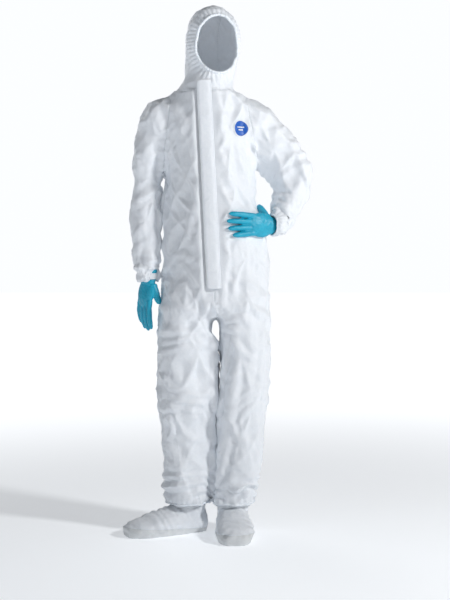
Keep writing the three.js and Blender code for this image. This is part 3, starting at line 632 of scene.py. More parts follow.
raised += 0.011 * np.exp(-((from_crotch - 0.05) / 0.11) ** 2) * (on_leg | on_trunk) * folds(
    pattern, z + 0.5 * np.abs(x + 0.015), 0.050, 1.2, 21.0)
raised += 0.006 * smooth_step(z, 0.86, 0.98) * (1 - smooth_step(z, 1.36, 1.44)) * on_trunk * folds(
    pattern, x + 0.10 * (z - 1.1) * np.sign(x + 0.03), 0.064, 0.55, 24.0)
for side in ("right", "left"):
    on_arm = np.array([p == side + "_sleeve" for p in panel_at])
    elbow = np.linalg.norm(pattern - np.array(bend[side]), axis=1)
    raised += 0.011 * on_arm * np.exp(-((elbow - 0.02) / 0.12) ** 2) * folds(
        pattern, elbow + 0.25 * y, 0.040, 1.3, 27.0)
    cuff = wrist_share(pattern, side)
    raised += 0.008 * on_arm * np.exp(-((np.clip(cuff, 0, 1) - 0.055) / 0.028) ** 2) * folds(
        pattern, cuff, 0.026, 1.0, 30.0)

# Gathers run square to each elastic and die away from it.
share = face_share(pattern)
face_turn = np.arctan2(z - face_centre[2], (pattern - face_centre) @ hood_across)
gather = 1 - smooth_step(share, 1.08, 1.62)
raised += 0.0026 * gather * np.abs(np.sin(face_turn * 23 + 1.5 * wavering(pattern, 0.05, 33.0)))
for side in ("right", "left"):
    end, before = (Vector(arm_ovals[side][i][:3]) for i in (-1, -2))
    along = (before - end).normalized()
    flat_x = along.cross(Vector((0, 1, 0.2))).normalized()
    out = pattern - np.array(end)
    cuff_turn = np.arctan2(out @ np.array(flat_x), out @ np.array(along.cross(flat_x)))
    gather = 1 - smooth_step(wrist_share(pattern, side), 0.010, 0.045)
    raised += 0.0022 * gather * np.abs(np.sin(cuff_turn * 11 + wavering(pattern, 0.03, 36.0)))
hem_gather = (1 - smooth_step(z, leg_hem + 0.008, leg_hem + 0.05)) * on_leg
raised += 0.0040 * hem_gather * np.abs(np.sin(turn * 12 + wavering(pattern, 0.04, 39.0)))
waist_gather = np.exp(-((z - waist_level) / 0.03) ** 2) * on_trunk * (y > side_seam_y)
raised += 0.0045 * waist_gather * np.abs(np.sin(x / 0.010 + 1.2 * wavering(pattern, 0.05, 42.0)))

# The cloth lies flat along the zip, and each seam draws it in a little.
across_zip, into_zip, up_zip = zip_place(pattern).T
flat = 1 - smooth_step(np.abs(across_zip), 0.026, 0.052)
flat *= smooth_step(up_zip, -0.085, -0.02) * (up_zip < 0.645) * (y < side_seam_y)
in_place = np.outer(across_zip, zip_axes[0]) + np.outer(up_zip, zip_axes[2]) + np.array(zip_foot)
hung = hung + flat[:, None] * (in_place - hung)
at_crotch = np.linalg.norm((pattern - np.array(gusset_middle)) * (1, 0.75, 1), axis=1)
at_crotch = (1 - smooth_step(at_crotch, 0.045, 0.115)) * 0.85
hung = hung + at_crotch[:, None] * (pattern - hung)
raised *= 1 - 0.8 * at_crotch
raised *= 1 - flat
under_sewn_edge = smooth_step(across_zip, 0.014, 0.0225) * (1 - smooth_step(across_zip, 0.034, 0.12))
past_free_edge = smooth_step(-across_zip, 0.027, 0.036) * (1 - smooth_step(-across_zip, 0.036, 0.13))
beside_flap = (0.0064 * under_sewn_edge + 0.0055 * past_free_edge) * (y < side_seam_y)
beside_flap *= smooth_step(up_zip, -0.09, -0.01) * (1 - smooth_step(up_zip, 0.60, 0.655))
raised += beside_flap
seam_edges = [e for e in cut.edges if len(e.link_faces) == 2
              and e.link_faces[0][panel_layer] != e.link_faces[1][panel_layer]]
seam_points = {v.index for e in seam_edges for v in e.verts}
on_seam = np.zeros(len(pattern))
on_seam[list(seam_points)] = 1
raised -= 0.0008 * on_seam
hung = hung + outwards * raised[:, None]
for v, place in zip(cut.verts, hung):
    v.co = place
cut.normal_update()


def fabric_coords(tree):
    """Positions in the row frame, in metres: every object sits at the origin."""
    return node(tree, "ShaderNodeTexCoord").outputs["Object"]


def bumped(tree, shader, heights):
    """Joins bumps, each (height output, depth in metres), into the shader's normal."""
    normal = None
    for height, depth in heights:
        links = [("Height", height)] + ([("Normal", normal)] if normal else [])
        bump = node(tree, "ShaderNodeBump", links, in_Strength=1.0, in_Distance=depth)
        normal = bump.outputs["Normal"]
    tree.links.new(normal, shader.inputs["Normal"])


def mixed(tree, share, dark, light):
    """A colour between two, by a share from 0 to 1."""
    blend = node(tree, "ShaderNodeMix", [(0, share)], data_type="RGBA")
    blend.inputs["A"].default_value, blend.inputs["B"].default_value = linear(dark), linear(light)
    return blend.outputs["Result"]


# Flash-spun polyethylene: a paper-like white cloth of fused fibres, matt with a slight waxy sheen.
# It shows a cloudy swirl of fibres about 10 mm across, hand creases, and strands under a millimetre.
def spunbond_material(name, shade, light):
    """The suit's cloth, between a shade colour and a light one."""
    made, tree, shader = blank_material(name, light, 0.5)
    place = fabric_coords(tree)
    clouds = node(tree, "ShaderNodeTexNoise", [("Vector", place)], in_Scale=95.0, in_Detail=5.0,
                  in_Roughness=0.62, in_Distortion=1.6)
    tree.links.new(mixed(tree, clouds.outputs[0], shade, light), shader.inputs["Base Color"])
    rough = node(tree, "ShaderNodeMapRange", [(0, clouds.outputs[0])], in_3=0.42, in_4=0.60)
    tree.links.new(rough.outputs[0], shader.inputs["Roughness"])
    crumple = node(tree, "ShaderNodeTexNoise", [("Vector", place)], in_Scale=22.0, in_Detail=4.0,
                   in_Roughness=0.42, in_Distortion=0.6, noise_type="RIDGED_MULTIFRACTAL")
    crease = node(tree, "ShaderNodeTexNoise", [("Vector", place)], in_Scale=85.0, in_Detail=2.0,
                  noise_type="RIDGED_MULTIFRACTAL")
    strands = node(tree, "ShaderNodeTexNoise", [("Vector", place)], in_Scale=1100.0, in_Detail=2.0,
                   in_Distortion=2.5)
    bumped(tree, shader, [(crumple.outputs[0], 0.0030), (crease.outputs[0], 0.0005),
                          (strands.outputs[0], 0.00008)])
    shader.inputs["Sheen Weight"].default_value = 0.12
    shader.inputs["Specular IOR Level"].default_value = 0.38
    shader.inputs["Subsurface Weight"].default_value = 0.12
    shader.inputs["Subsurface Radius"].default_value = (0.006, 0.007, 0.008)
    shader.inputs["Subsurface Scale"].default_value = 1.0
    return made


spunbond = spunbond_material("flash_spun_polyethylene_white", "#E3E9F0", "#F3F6FA")

# Cloth panels. Each is cut from the one draped skin along its seams and is 0.8 mm thick, inwards.
cloth_thickness = 0.0008


def new_piece(name, mesh, material, *, rides=None, stands_for=()):
    """A piece of the object from a mesh, with its material and what it rides on and replaces."""
    mesh.materials.clear()
    mesh.materials.append(material)
    for polygon in mesh.polygons:
        polygon.use_smooth = True
    made = bpy.data.objects.new(name, mesh)
    scene.collection.objects.link(made)
    if rides:
        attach(made, rides)
    if stands_for:
        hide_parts(*stands_for)
    return made


def thickened(source, name, thickness):
    """A mesh from a bmesh sheet, made solid inwards by a thickness."""
    mesh = bpy.data.meshes.new(name)
    source.to_mesh(mesh)
    source.free()
    sheet = bpy.data.objects.new(name, mesh)
    scene.collection.objects.link(sheet)
    solid = sheet.modifiers.new("thickness", "SOLIDIFY")
    solid.thickness, solid.offset = thickness, -1
    made = applied(sheet, name)
    bpy.data.objects.remove(sheet)
    return made


armpit = {"right": Vector((-0.193, 0.05, 1.235)), "left": Vector((0.137, 0.05, 1.240))}


def bend_with_joint(piece):
    """Bakes the placement of a hood or sleeve piece into its mesh."""
    name = piece.name
    if "hood" in name:
        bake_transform(piece)
    for side in ("right", "left"):
        if side + "_sleeve" in name or side + "_armhole" in name:
            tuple(armpit[side])
            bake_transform(piece)


bending = []
for index, name in enumerate(panels):
    part = cut.copy()
    layer = part.faces.layers.int["panel"]
    bmesh.ops.delete(part, geom=[f for f in part.faces if f[layer] != index], context="FACES")
    mesh = thickened(part, name + "_cloth", cloth_thickness)
    fixed = None if "hood" in name or "sleeve" in name else "torso"
    panel = new_piece(name + "_cloth", mesh, spunbond, rides=fixed, stands_for=[name])
    if not fixed:
        bending.append(panel)

# Seams. The panels are overlocked and the seam stands up as a thin white cord with thread round it.
thread_white, thread_tree, thread_shader = blank_material("polyester_thread_white", "#E9EDF2", 0.55)
twist = node(thread_tree, "ShaderNodeTexWave", [("Vector", fabric_coords(thread_tree))], in_Scale=160.0,
             in_Distortion=1.0, bands_direction="DIAGONAL")
thread_tree.links.new(mixed(thread_tree, twist.outputs["Fac"], "#D3DAE2", "#F3F6F9"),
                      thread_shader.inputs["Base Color"])
bumped(thread_tree, thread_shader, [(twist.outputs["Fac"], 0.0003)])
seam_radius = 0.0010


def chains(edges):
    """Edges joined end to end, as lists of points in order."""
    spare = set(edges)
    while spare:
        ends = [v for e in spare for v in e.verts if sum(o in spare for o in v.link_edges) != 2]
        at = min(ends, key=lambda v: v.index) if ends else min(
            (v for e in spare for v in e.verts), key=lambda v: v.index)
        line = [at.co.copy()]
        while True:
            onward = [e for e in at.link_edges if e in spare]
            if not onward:
                break
            spare.discard(onward[0])
            at = onward[0].other_vert(at)
            line.append(at.co.copy())
            if sum(e in spare for e in at.link_edges) != 1:
                break
        yield line


def cord_mesh(name, lines, radius):
    """Thin round cords through lists of points, as one closed mesh."""
    curve = bpy.data.curves.new(name, "CURVE")
    curve.dimensions = "3D"
    curve.bevel_depth, curve.bevel_resolution = radius, 1
    curve.use_fill_caps = True
    for line in lines:
        if len(line) > 1:
            spline = curve.splines.new("POLY")
            spline.points.add(len(line) - 1)
            spline.points.foreach_set("co", [c for p in line for c in (*p, 1)])
    cord = bpy.data.objects.new(name, curve)
    scene.collection.objects.link(cord)
    made = applied(cord, name)
    bpy.data.objects.remove(cord)
    return made


seams = {}
for e in cut.edges:
    if len(e.link_faces) == 2:
        joined = {panels[f[panel_layer]] for f in e.link_faces}
        if len(joined) == 2:
            kind = "body_seams"
            if all("hood" in p for p in joined):
                kind = "hood_seams"
            elif any("hood" in p for p in joined):
                kind = "neck_seam"
            elif any("sleeve" in p for p in joined):
                kind = "right_armhole_seam" if "right_sleeve" in joined else "left_armhole_seam"
            seams.setdefault(kind, []).append(e)
for kind, edges in sorted(seams.items()):
    mesh = cord_mesh(kind, chains(edges), seam_radius)
    fixed = None if kind == "hood_seams" or "armhole" in kind else "torso"
    piece = new_piece(kind, mesh, thread_white, rides=fixed)
    if not fixed:
        bending.append(piece)

# Hems. The cloth is turned in over the elastic round the face and at each cuff and ankle, as a soft
# gathered roll. Each follows its opening's edge, with the roll swelling between the gathers.
# The rolls take a darker copy of the suit's cloth: painted shade among their gathers.
hem_cloth_painted_shade = spunbond_material("gathered_hem_cloth", "#DCE3EB", "#F1F5F9")


def hem_roll(name, edges, radius, gathers):
    """A gathered roll along a closed edge of the cloth."""
    line = max(chains(edges), key=len)
    run = np.array([*line[:-1], line[0]])
    marks = np.concatenate([[0], np.cumsum(np.linalg.norm(np.diff(run, axis=0), axis=1))])
    count = max(len(line), gathers * 6)
    spaced = np.linspace(0, marks[-1], count, endpoint=False)
    path = np.stack([np.interp(spaced, marks, run[:, a]) for a in range(3)], axis=1)
    for _ in range(6):
        path = (np.roll(path, 1, axis=0) + 2 * path + np.roll(path, -1, axis=0)) / 4
    curve = bpy.data.curves.new(name, "CURVE")
    curve.dimensions = "3D"
    curve.bevel_depth, curve.bevel_resolution = radius, 2
    spline = curve.splines.new("POLY")
    spline.points.add(count - 1)
    spline.use_cyclic_u = True
    for k, (point, place) in enumerate(zip(spline.points, path)):
        point.co = (*place, 1)
        point.radius = 1 + 0.2 * abs(math.sin(math.pi * gathers * k / count)) + 0.1 * noise.noise(
            Vector(place) * 60)
    roll = bpy.data.objects.new(name, curve)
    scene.collection.objects.link(roll)
    made = applied(roll, name)
    bpy.data.objects.remove(roll)
    return made


def edge_near(test):
    """The boundary edges of the cloth whose pattern place passes a test."""
    return [e for e in cut.edges if e.is_boundary
            and all(test(np.array(v[pattern_layer])) for v in e.verts)]


face_edge = edge_near(lambda c: c[2] > neck_level + 0.02 and face_share(c[None])[0] < 1.3)
new_piece("hood_face_hem", hem_roll("hood_face_hem", face_edge, 0.0046, 64), hem_cloth_painted_shade,
          rides="hood", stands_for=["hood_face_elastic_hem"])
for side in ("right", "left"):
    cuff_edge = edge_near(lambda c: wrist_share(c[None], side)[0] < 0.012)
    new_piece(side + "_cuff_hem", hem_roll(side + "_cuff_hem", cuff_edge, 0.0026, 30), hem_cloth_painted_shade,
              rides=side + "_arm")
    way = -1 if side == "right" else 1
    ankle_edge = edge_near(lambda c: c[2] < leg_hem + 0.01 and (c[0] - between_legs_x) * way > 0)
    new_piece(side + "_ankle_hem", hem_roll(side + "_ankle_hem", ankle_edge, 0.0034, 34), hem_cloth_painted_shade,
              rides="torso")
for piece in bending:
    bend_with_joint(piece)
chest_surface = BVHTree.FromBMesh(cut)
cut.free()

# Storm flap: a strip of two layers of the same cloth, sewn down on the wearer's left of the zip. It
# bows over the slider, and its free edge stands off the front and throws a thin shadow.
flap_sewn, flap_free = 0.024, -0.027
flap_low, flap_high = -0.015, 0.673
flap_layers = 0.0015
flap_profile = ((flap_free, -0.0050), (-0.0235, -0.0080), (-0.018, -0.0102), (-0.004, -0.0110),
                (0.006, -0.0108), (0.012, -0.0102), (0.018, -0.0090), (flap_sewn, -0.0076))


def from_zip(place):
    """A place in the zip's frame (across, inwards, along) as one in the row frame."""
    return zip_foot + zip_side * place[0] + zip_in * place[1] + zip_up * place[2]


strip = bmesh.new()
bmesh.ops.create_grid(strip, x_segments=26, y_segments=170, size=0.5)
stitch_at = {"sewn": 0.0208, "free": -0.0180}
for v in strip.verts:
    along_flap = flap_low + (v.co.y + 0.5) * (flap_high - flap_low)
    from_end = min(along_flap - flap_low, flap_high - along_flap)
    corner = max(0.0, 1 - from_end / 0.016)
    free_edge = flap_free + 0.014 * (1 - math.sqrt(1 - corner ** 2))
    free_edge += 0.0022 * (1 + noise.noise(Vector((0, 7.0, along_flap / 0.09))))
    across_flap = free_edge + (v.co.x + 0.5) * (flap_sewn - free_edge)
    depth = np.interp(across_flap, *zip(*flap_profile))
    slack = 0.5 + 0.5 * noise.noise(Vector((across_flap * 9, 0.3, along_flap * 11)))
    ripple = 0.5 - abs(noise.noise(Vector((across_flap * 28, 4.0, along_flap * 38))))
    ease_in = min(1.0, (flap_sewn - across_flap) / 0.012)
    depth -= (0.0016 * slack + 0.0012 * ripple) * ease_in
    for row in stitch_at.values():
        depth += 0.0007 * math.exp(-((across_flap - row) / 0.0013) ** 2)
    v.co = from_zip((across_flap, depth, along_flap))
bmesh.ops.recalc_face_normals(strip, faces=strip.faces)
if sum((f.normal for f in strip.faces), Vector()).dot(zip_in) > 0:
    bmesh.ops.reverse_faces(strip, faces=strip.faces)
flap_cloth = new_piece("storm_flap_cloth", thickened(strip, "storm_flap_cloth", flap_layers), spunbond,
                       stands_for=["storm_flap"])
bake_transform(flap_cloth)

# Top-stitching of the flap: two rows of lockstitch, 3.4 mm a stitch, lying in the cloth's dents.
stitch_pitch, stitch_long, stitch_radius = 0.0034, 0.0026, 0.00038
rows = bmesh.new()
for row in stitch_at.values():
    depth = np.interp(row, *zip(*flap_profile)) - 0.0007
    for k in range(int((flap_high - flap_low - 0.010) / stitch_pitch)):
        along_flap = flap_low + 0.005 + (k + 0.5) * stitch_pitch
        slack = 0.5 + 0.5 * noise.noise(Vector((row * 9, 0.3, along_flap * 11)))
        ripple = 0.5 - abs(noise.noise(Vector((row * 28, 4.0, along_flap * 38))))
        out = (0.0016 * slack + 0.0012 * ripple) * min(1.0, (flap_sewn - row) / 0.012)
        turned = Matrix((zip_side * stitch_radius, zip_in * stitch_radius, zip_up * stitch_long / 2))
        place = turned.transposed().to_4x4()
        place.translation = from_zip((row, depth - out + 0.0005, along_flap))
        bmesh.ops.create_uvsphere(rows, u_segments=6, v_segments=4, radius=1.0, matrix=place)
rows_mesh = bpy.data.meshes.new("flap_top_stitching")
rows.to_mesh(rows_mesh)
rows.free()
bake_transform(new_piece("flap_top_stitching", rows_mesh, thread_white))

# Zip: two woven tapes with moulded teeth, closed by a slider with a pull. The tapes, stops, slider and
# pull keep their CAD shapes. Each row of teeth is 3 mm a tooth, and every tooth has a rounded head.
nylon, nylon_tree, nylon_shader = blank_material("moulded_nylon_white", "#E4E7EA", 0.32)
flow = node(nylon_tree, "ShaderNodeTexNoise", [("Vector", fabric_coords(nylon_tree))], in_Scale=420.0,
            in_Detail=3.0)
nylon_tree.links.new(mixed(nylon_tree, flow.outputs[0], "#D3D8DD", "#EEF1F4"),
                     nylon_shader.inputs["Base Color"])
bumped(nylon_tree, nylon_shader, [(flow.outputs[0], 0.0001)])

tape_weave, tape_tree, tape_shader = blank_material("woven_polyester_tape_white", "#E6EAEE", 0.7)
tape_place = fabric_coords(tape_tree)
ribs = node(tape_tree, "ShaderNodeTexWave", [("Vector", tape_place)], in_Scale=330.0,
            bands_direction="Z")
weft = node(tape_tree, "ShaderNodeTexWave", [("Vector", tape_place)], in_Scale=450.0,
            bands_direction="X")
tape_tree.links.new(mixed(tape_tree, ribs.outputs["Fac"], "#CFD6DD", "#EFF2F5"),
                    tape_shader.inputs["Base Color"])
bumped(tape_tree, tape_shader, [(ribs.outputs["Fac"], 0.0002), (weft.outputs["Fac"], 0.0001)])

tooth_pitch, tooth_high = 0.003, 0.0018
tooth_inner, tooth_outer, tooth_front, tooth_back = 0.0008, 0.0032, 0.0018, 0.0046
zip_length = (teeth_high.z - teeth_low.z) / zip_up.z
for side, way in (("right", -1), ("left", 1)):
    teeth = bmesh.new()
    for k in range(int((zip_length - 0.004) / tooth_pitch)):
        along_zip = 0.002 + (k + (0.5 if way > 0 else 0.25)) * tooth_pitch
        size = Matrix((zip_side * (tooth_outer - tooth_inner), zip_in * (tooth_back - tooth_front),
                       zip_up * tooth_high)).transposed().to_4x4()
        size.translation = from_zip((way * (tooth_inner + tooth_outer) / 2,
                                     (tooth_front + tooth_back) / 2, along_zip))
        bmesh.ops.create_cube(teeth, size=1.0, matrix=size)
    bmesh.ops.bevel(teeth, geom=teeth.edges[:], offset=0.00045, segments=2, profile=0.5,
                    affect="EDGES", material=-1)
    teeth_mesh = bpy.data.meshes.new(side + "_teeth_row")
    teeth.to_mesh(teeth_mesh)
    teeth.free()
    new_piece(side + "_teeth_row", teeth_mesh, nylon, rides="torso",
              stands_for=[side + "_zip_teeth"])

# Elastic: knitted white rubber-core tape, sewn inside the waist, cuffs and ankles. Its own ribs run
# round it, 1.2 mm apart.
elastic, elastic_tree, elastic_shader = blank_material("knitted_elastic_tape_white", "#E7EAEE", 0.75)
knit = node(elastic_tree, "ShaderNodeTexWave", [("Vector", fabric_coords(elastic_tree))], in_Scale=130.0,
            in_Distortion=0.6, bands_direction="Z")
elastic_tree.links.new(mixed(elastic_tree, knit.outputs["Fac"], "#CBD1D8", "#F1F3F5"),
                       elastic_shader.inputs["Base Color"])
bumped(elastic_tree, elastic_shader, [(knit.outputs["Fac"], 0.0004)])

# Adhesive strip under the flap: double-sided tape under a smooth, slightly yellowed release paper.
release_paper, paper_tree, paper_shader = blank_material("glossy_release_paper", "#F1F0E8", 0.22)
fibres = node(paper_tree, "ShaderNodeTexNoise", [("Vector", fabric_coords(paper_tree))], in_Scale=260.0,
              in_Detail=4.0)
paper_tree.links.new(mixed(paper_tree, fibres.outputs[0], "#E6E4D8", "#F6F5EF"),
                     paper_shader.inputs["Base Color"])
bumped(paper_tree, paper_shader, [(fibres.outputs[0], 0.00008)])

# Size label: a woven satin tag with nothing written on it.
satin, satin_tree, satin_shader = blank_material("woven_satin_tag", "#F2F2F0", 0.4)
floats = node(satin_tree, "ShaderNodeTexWave", [("Vector", fabric_coords(satin_tree))], in_Scale=520.0,
              bands_direction="DIAGONAL")
satin_tree.links.new(mixed(satin_tree, floats.outputs["Fac"], "#DEDEDB", "#F7F7F5"),
                     satin_shader.inputs["Base Color"])
bumped(satin_tree, satin_shader, [(floats.outputs["Fac"], 0.00008)])

for name, material in {
        "waist_elastic": elastic, "right_cuff_elastic": elastic, "left_cuff_elastic": elastic,
        "right_ankle_elastic": elastic, "left_ankle_elastic": elastic, "size_label": satin,
        "right_zip_tape": tape_weave, "left_zip_tape": tape_weave, "zip_bottom_stop": nylon,
        "zip_top_stop": nylon, "zip_slider": nylon, "zip_pull": nylon,
        "flap_adhesive_strip": release_paper}.items():
    kept = frame["nodes"][name]
    kept.data.materials.clear()
    kept.data.materials.append(material)

# Badge: a printed round patch heat-sealed to the left chest, plain blue with a white edge and two
# plain white bars. It lies on the cloth and follows its folds a little.
badge_low, badge_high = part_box("chest_badge")
badge_middle = (badge_low + badge_high) / 2
badge_radius = (badge_high.z - badge_low.z) / 2
badge_facing = Vector((math.sin(math.radians(41)), -math.cos(math.radians(41)), 0.0))
badge_across = Vector((0, 0, 1)).cross(badge_facing).normalized()
badge_upwards = badge_facing.cross(badge_across)


def printed_vinyl(name, dark, light):
    """Screen-printed vinyl film, slightly uneven in ink and shine."""
    made, tree, shader = blank_material(name, light, 0.35)
    ink = node(tree, "ShaderNodeTexNoise", [("Vector", fabric_coords(tree))], in_Scale=240.0,
               in_Detail=4.0)
    tree.links.new(mixed(tree, ink.outputs[0], dark, light), shader.inputs["Base Color"])
    shine = node(tree, "ShaderNodeMapRange", [(0, ink.outputs[0])], in_3=0.28, in_4=0.46)
    tree.links.new(shine.outputs[0], shader.inputs["Roughness"])
    bumped(tree, shader, [(ink.outputs[0], 0.00015)])
    return made


film_level = []  # how far the badge's field lies in front of its middle, on average


def patch_mesh(name, build, lift):
    """A flat shape, laid on the draped chest at a height above it and given 0.4 mm of film."""
    shape = bmesh.new()
    build(shape)
    places = []
    for v in shape.verts:
        above = badge_middle + badge_across * v.co.x + badge_upwards * v.co.y + badge_facing * 0.05
        hit = chest_surface.ray_cast(above, -badge_facing)
        places.append((hit[0] - badge_middle).dot(badge_facing))
    film_level.append(sum(places) / len(places))
    flat_part = film_level[0]
    for v, depth in zip(shape.verts, places):
        depth = max(0.5 * depth + 0.5 * flat_part, depth)
        v.co = badge_middle + badge_across * v.co.x + badge_upwards * v.co.y + badge_facing * (
            depth + lift)
    bmesh.ops.recalc_face_normals(shape, faces=shape.faces)
    if sum((f.normal for f in shape.faces), Vector()).dot(badge_facing) < 0:
        bmesh.ops.reverse_faces(shape, faces=shape.faces)
    return thickened(shape, name, 0.0004)


def ring_of(inner, outer):
    """A builder of a flat ring, or a disc when the inner radius is 0."""
    def build(shape):
        bmesh.ops.create_circle(shape, cap_ends=True, radius=outer, segments=56)
        for _ in range(1 if inner else 5):
            step = outer - inner if inner else outer / 6
            bmesh.ops.inset_region(shape, faces=[f for f in shape.faces if len(f.verts) > 4],
                                   thickness=step, use_boundary=True, use_even_offset=True)
        if inner:
            bmesh.ops.delete(shape, geom=[f for f in shape.faces if len(f.verts) > 4], context="FACES")
    return build


def bar_at(height, half_long, half_high):
    """A builder of a plain bar across the badge."""
    def build(shape):
        bmesh.ops.create_grid(shape, x_segments=8, y_segments=1, size=1.0)
        bmesh.ops.scale(shape, vec=(half_long, half_high, 1), verts=shape.verts)
        bmesh.ops.translate(shape, vec=(0, height, 0), verts=shape.verts)
    return build


badge_blue = printed_vinyl("printed_vinyl_blue", "#0B4FA8", "#1763C4")
badge_white = printed_vinyl("printed_vinyl_white", "#DDE3EA", "#F4F7FA")
new_piece("badge_field", patch_mesh("badge_field", ring_of(0, badge_radius * 1.02), 0.0009),
          badge_blue, rides="torso", stands_for=["chest_badge"])
new_piece("badge_border", patch_mesh("badge_border", ring_of(badge_radius, badge_radius * 1.12), 0.0014),
          badge_white, rides="torso")
for k, (height, half_long) in enumerate(((0.004, 0.013), (-0.005, 0.009))):
    new_piece(f"badge_bar_{k + 1}", patch_mesh(f"badge_bar_{k + 1}", bar_at(height, half_long, 0.0019),
              0.0020), badge_white, rides="torso")


# Gloves: thin turquoise nitrile, worn, with a rolled bead at the cuff inside the sleeve. The rubber
# wrinkles at the knuckles and the wrist and has a fine grip texture.
nitrile, nitrile_tree, nitrile_shader = blank_material("nitrile_rubber_turquoise", "#0AA2C2", 0.4)
nitrile_place = fabric_coords(nitrile_tree)
bloom = node(nitrile_tree, "ShaderNodeTexNoise", [("Vector", nitrile_place)], in_Scale=60.0, in_Detail=4.0)
nitrile_tree.links.new(mixed(nitrile_tree, bloom.outputs[0], "#028FB0", "#14B4D2"),
                       nitrile_shader.inputs["Base Color"])
nitrile_rough = node(nitrile_tree, "ShaderNodeMapRange", [(0, bloom.outputs[0])], in_3=0.30, in_4=0.48)
nitrile_tree.links.new(nitrile_rough.outputs[0], nitrile_shader.inputs["Roughness"])
grip = node(nitrile_tree, "ShaderNodeTexVoronoi", [("Vector", nitrile_place)], in_Scale=900.0)
skin_folds = node(nitrile_tree, "ShaderNodeTexNoise", [("Vector", nitrile_place)], in_Scale=150.0,
                  in_Detail=3.0, noise_type="RIDGED_MULTIFRACTAL")
bumped(nitrile_tree, nitrile_shader,
       [(skin_folds.outputs[0], 0.0007), (grip.outputs["Distance"], 0.00015)])
nitrile_shader.inputs["Subsurface Weight"].default_value = 0.08
nitrile_shader.inputs["Subsurface Radius"].default_value = (0.001, 0.003, 0.004)
nitrile_shader.inputs["Subsurface Scale"].default_value = 1.0


def even_skin(source, voxel, rounds):
    """A bmesh of closed shapes as one even, smoothed skin."""
    mesh = bpy.data.meshes.new("even_skin")
    source.to_mesh(mesh)
    source.free()
    holder = bpy.data.objects.new("even_skin", mesh)
    scene.collection.objects.link(holder)
    remesh = holder.modifiers.new("remesh", "REMESH")
    remesh.mode, remesh.voxel_size = "VOXEL", voxel
    smooth = holder.modifiers.new("smooth", "SMOOTH")
    smooth.factor, smooth.iterations = 0.5, rounds
    made = bmesh.new()
    even = applied(holder, "even_skin")
    made.from_mesh(even)
    bpy.data.objects.remove(holder)
    made.normal_update()
    return made


right_fingers = Vector(next(j for j in frame["joints"] if j["name"] == "right_glove_pull_off")["axis"])
left_fingers = Vector((-0.791, -0.611, 0.020)).normalized()
hands = {  # wrist, the way the thumb's side faces, which side the palm is, finger curls, thumb
    "right": (Vector((-0.2386, 0.0337, 0.865)), right_fingers, Vector((0.6, -0.8, 0)), -1,
              (0.45, 0.55, 0.62, 0.70), Vector((0.36, 0.36, 0.86))),
    "left": (wrists["left"] + Vector((0.0033, 0.0026, 0)), left_fingers, Vector((0.02, 0.08, 1)), 1,
             (0.34, 0.38, 0.38, 0.34), Vector((0.6, 0.66, -0.1)))}
palm_long, palm_half, palm_deep = 0.104, 0.041, 0.0165
finger_half = 0.0090
fingers = ((0.0290, 0.068, 0.070), (0.0100, 0.076, 0.012),  # root, length and lean of each finger
           (-0.0095, 0.072, -0.035), (-0.0275, 0.056, -0.095))
cuff_half, cuff_long = 0.0262, 0.030
glove_voxel, glove_wall = 0.0020, 0.0006
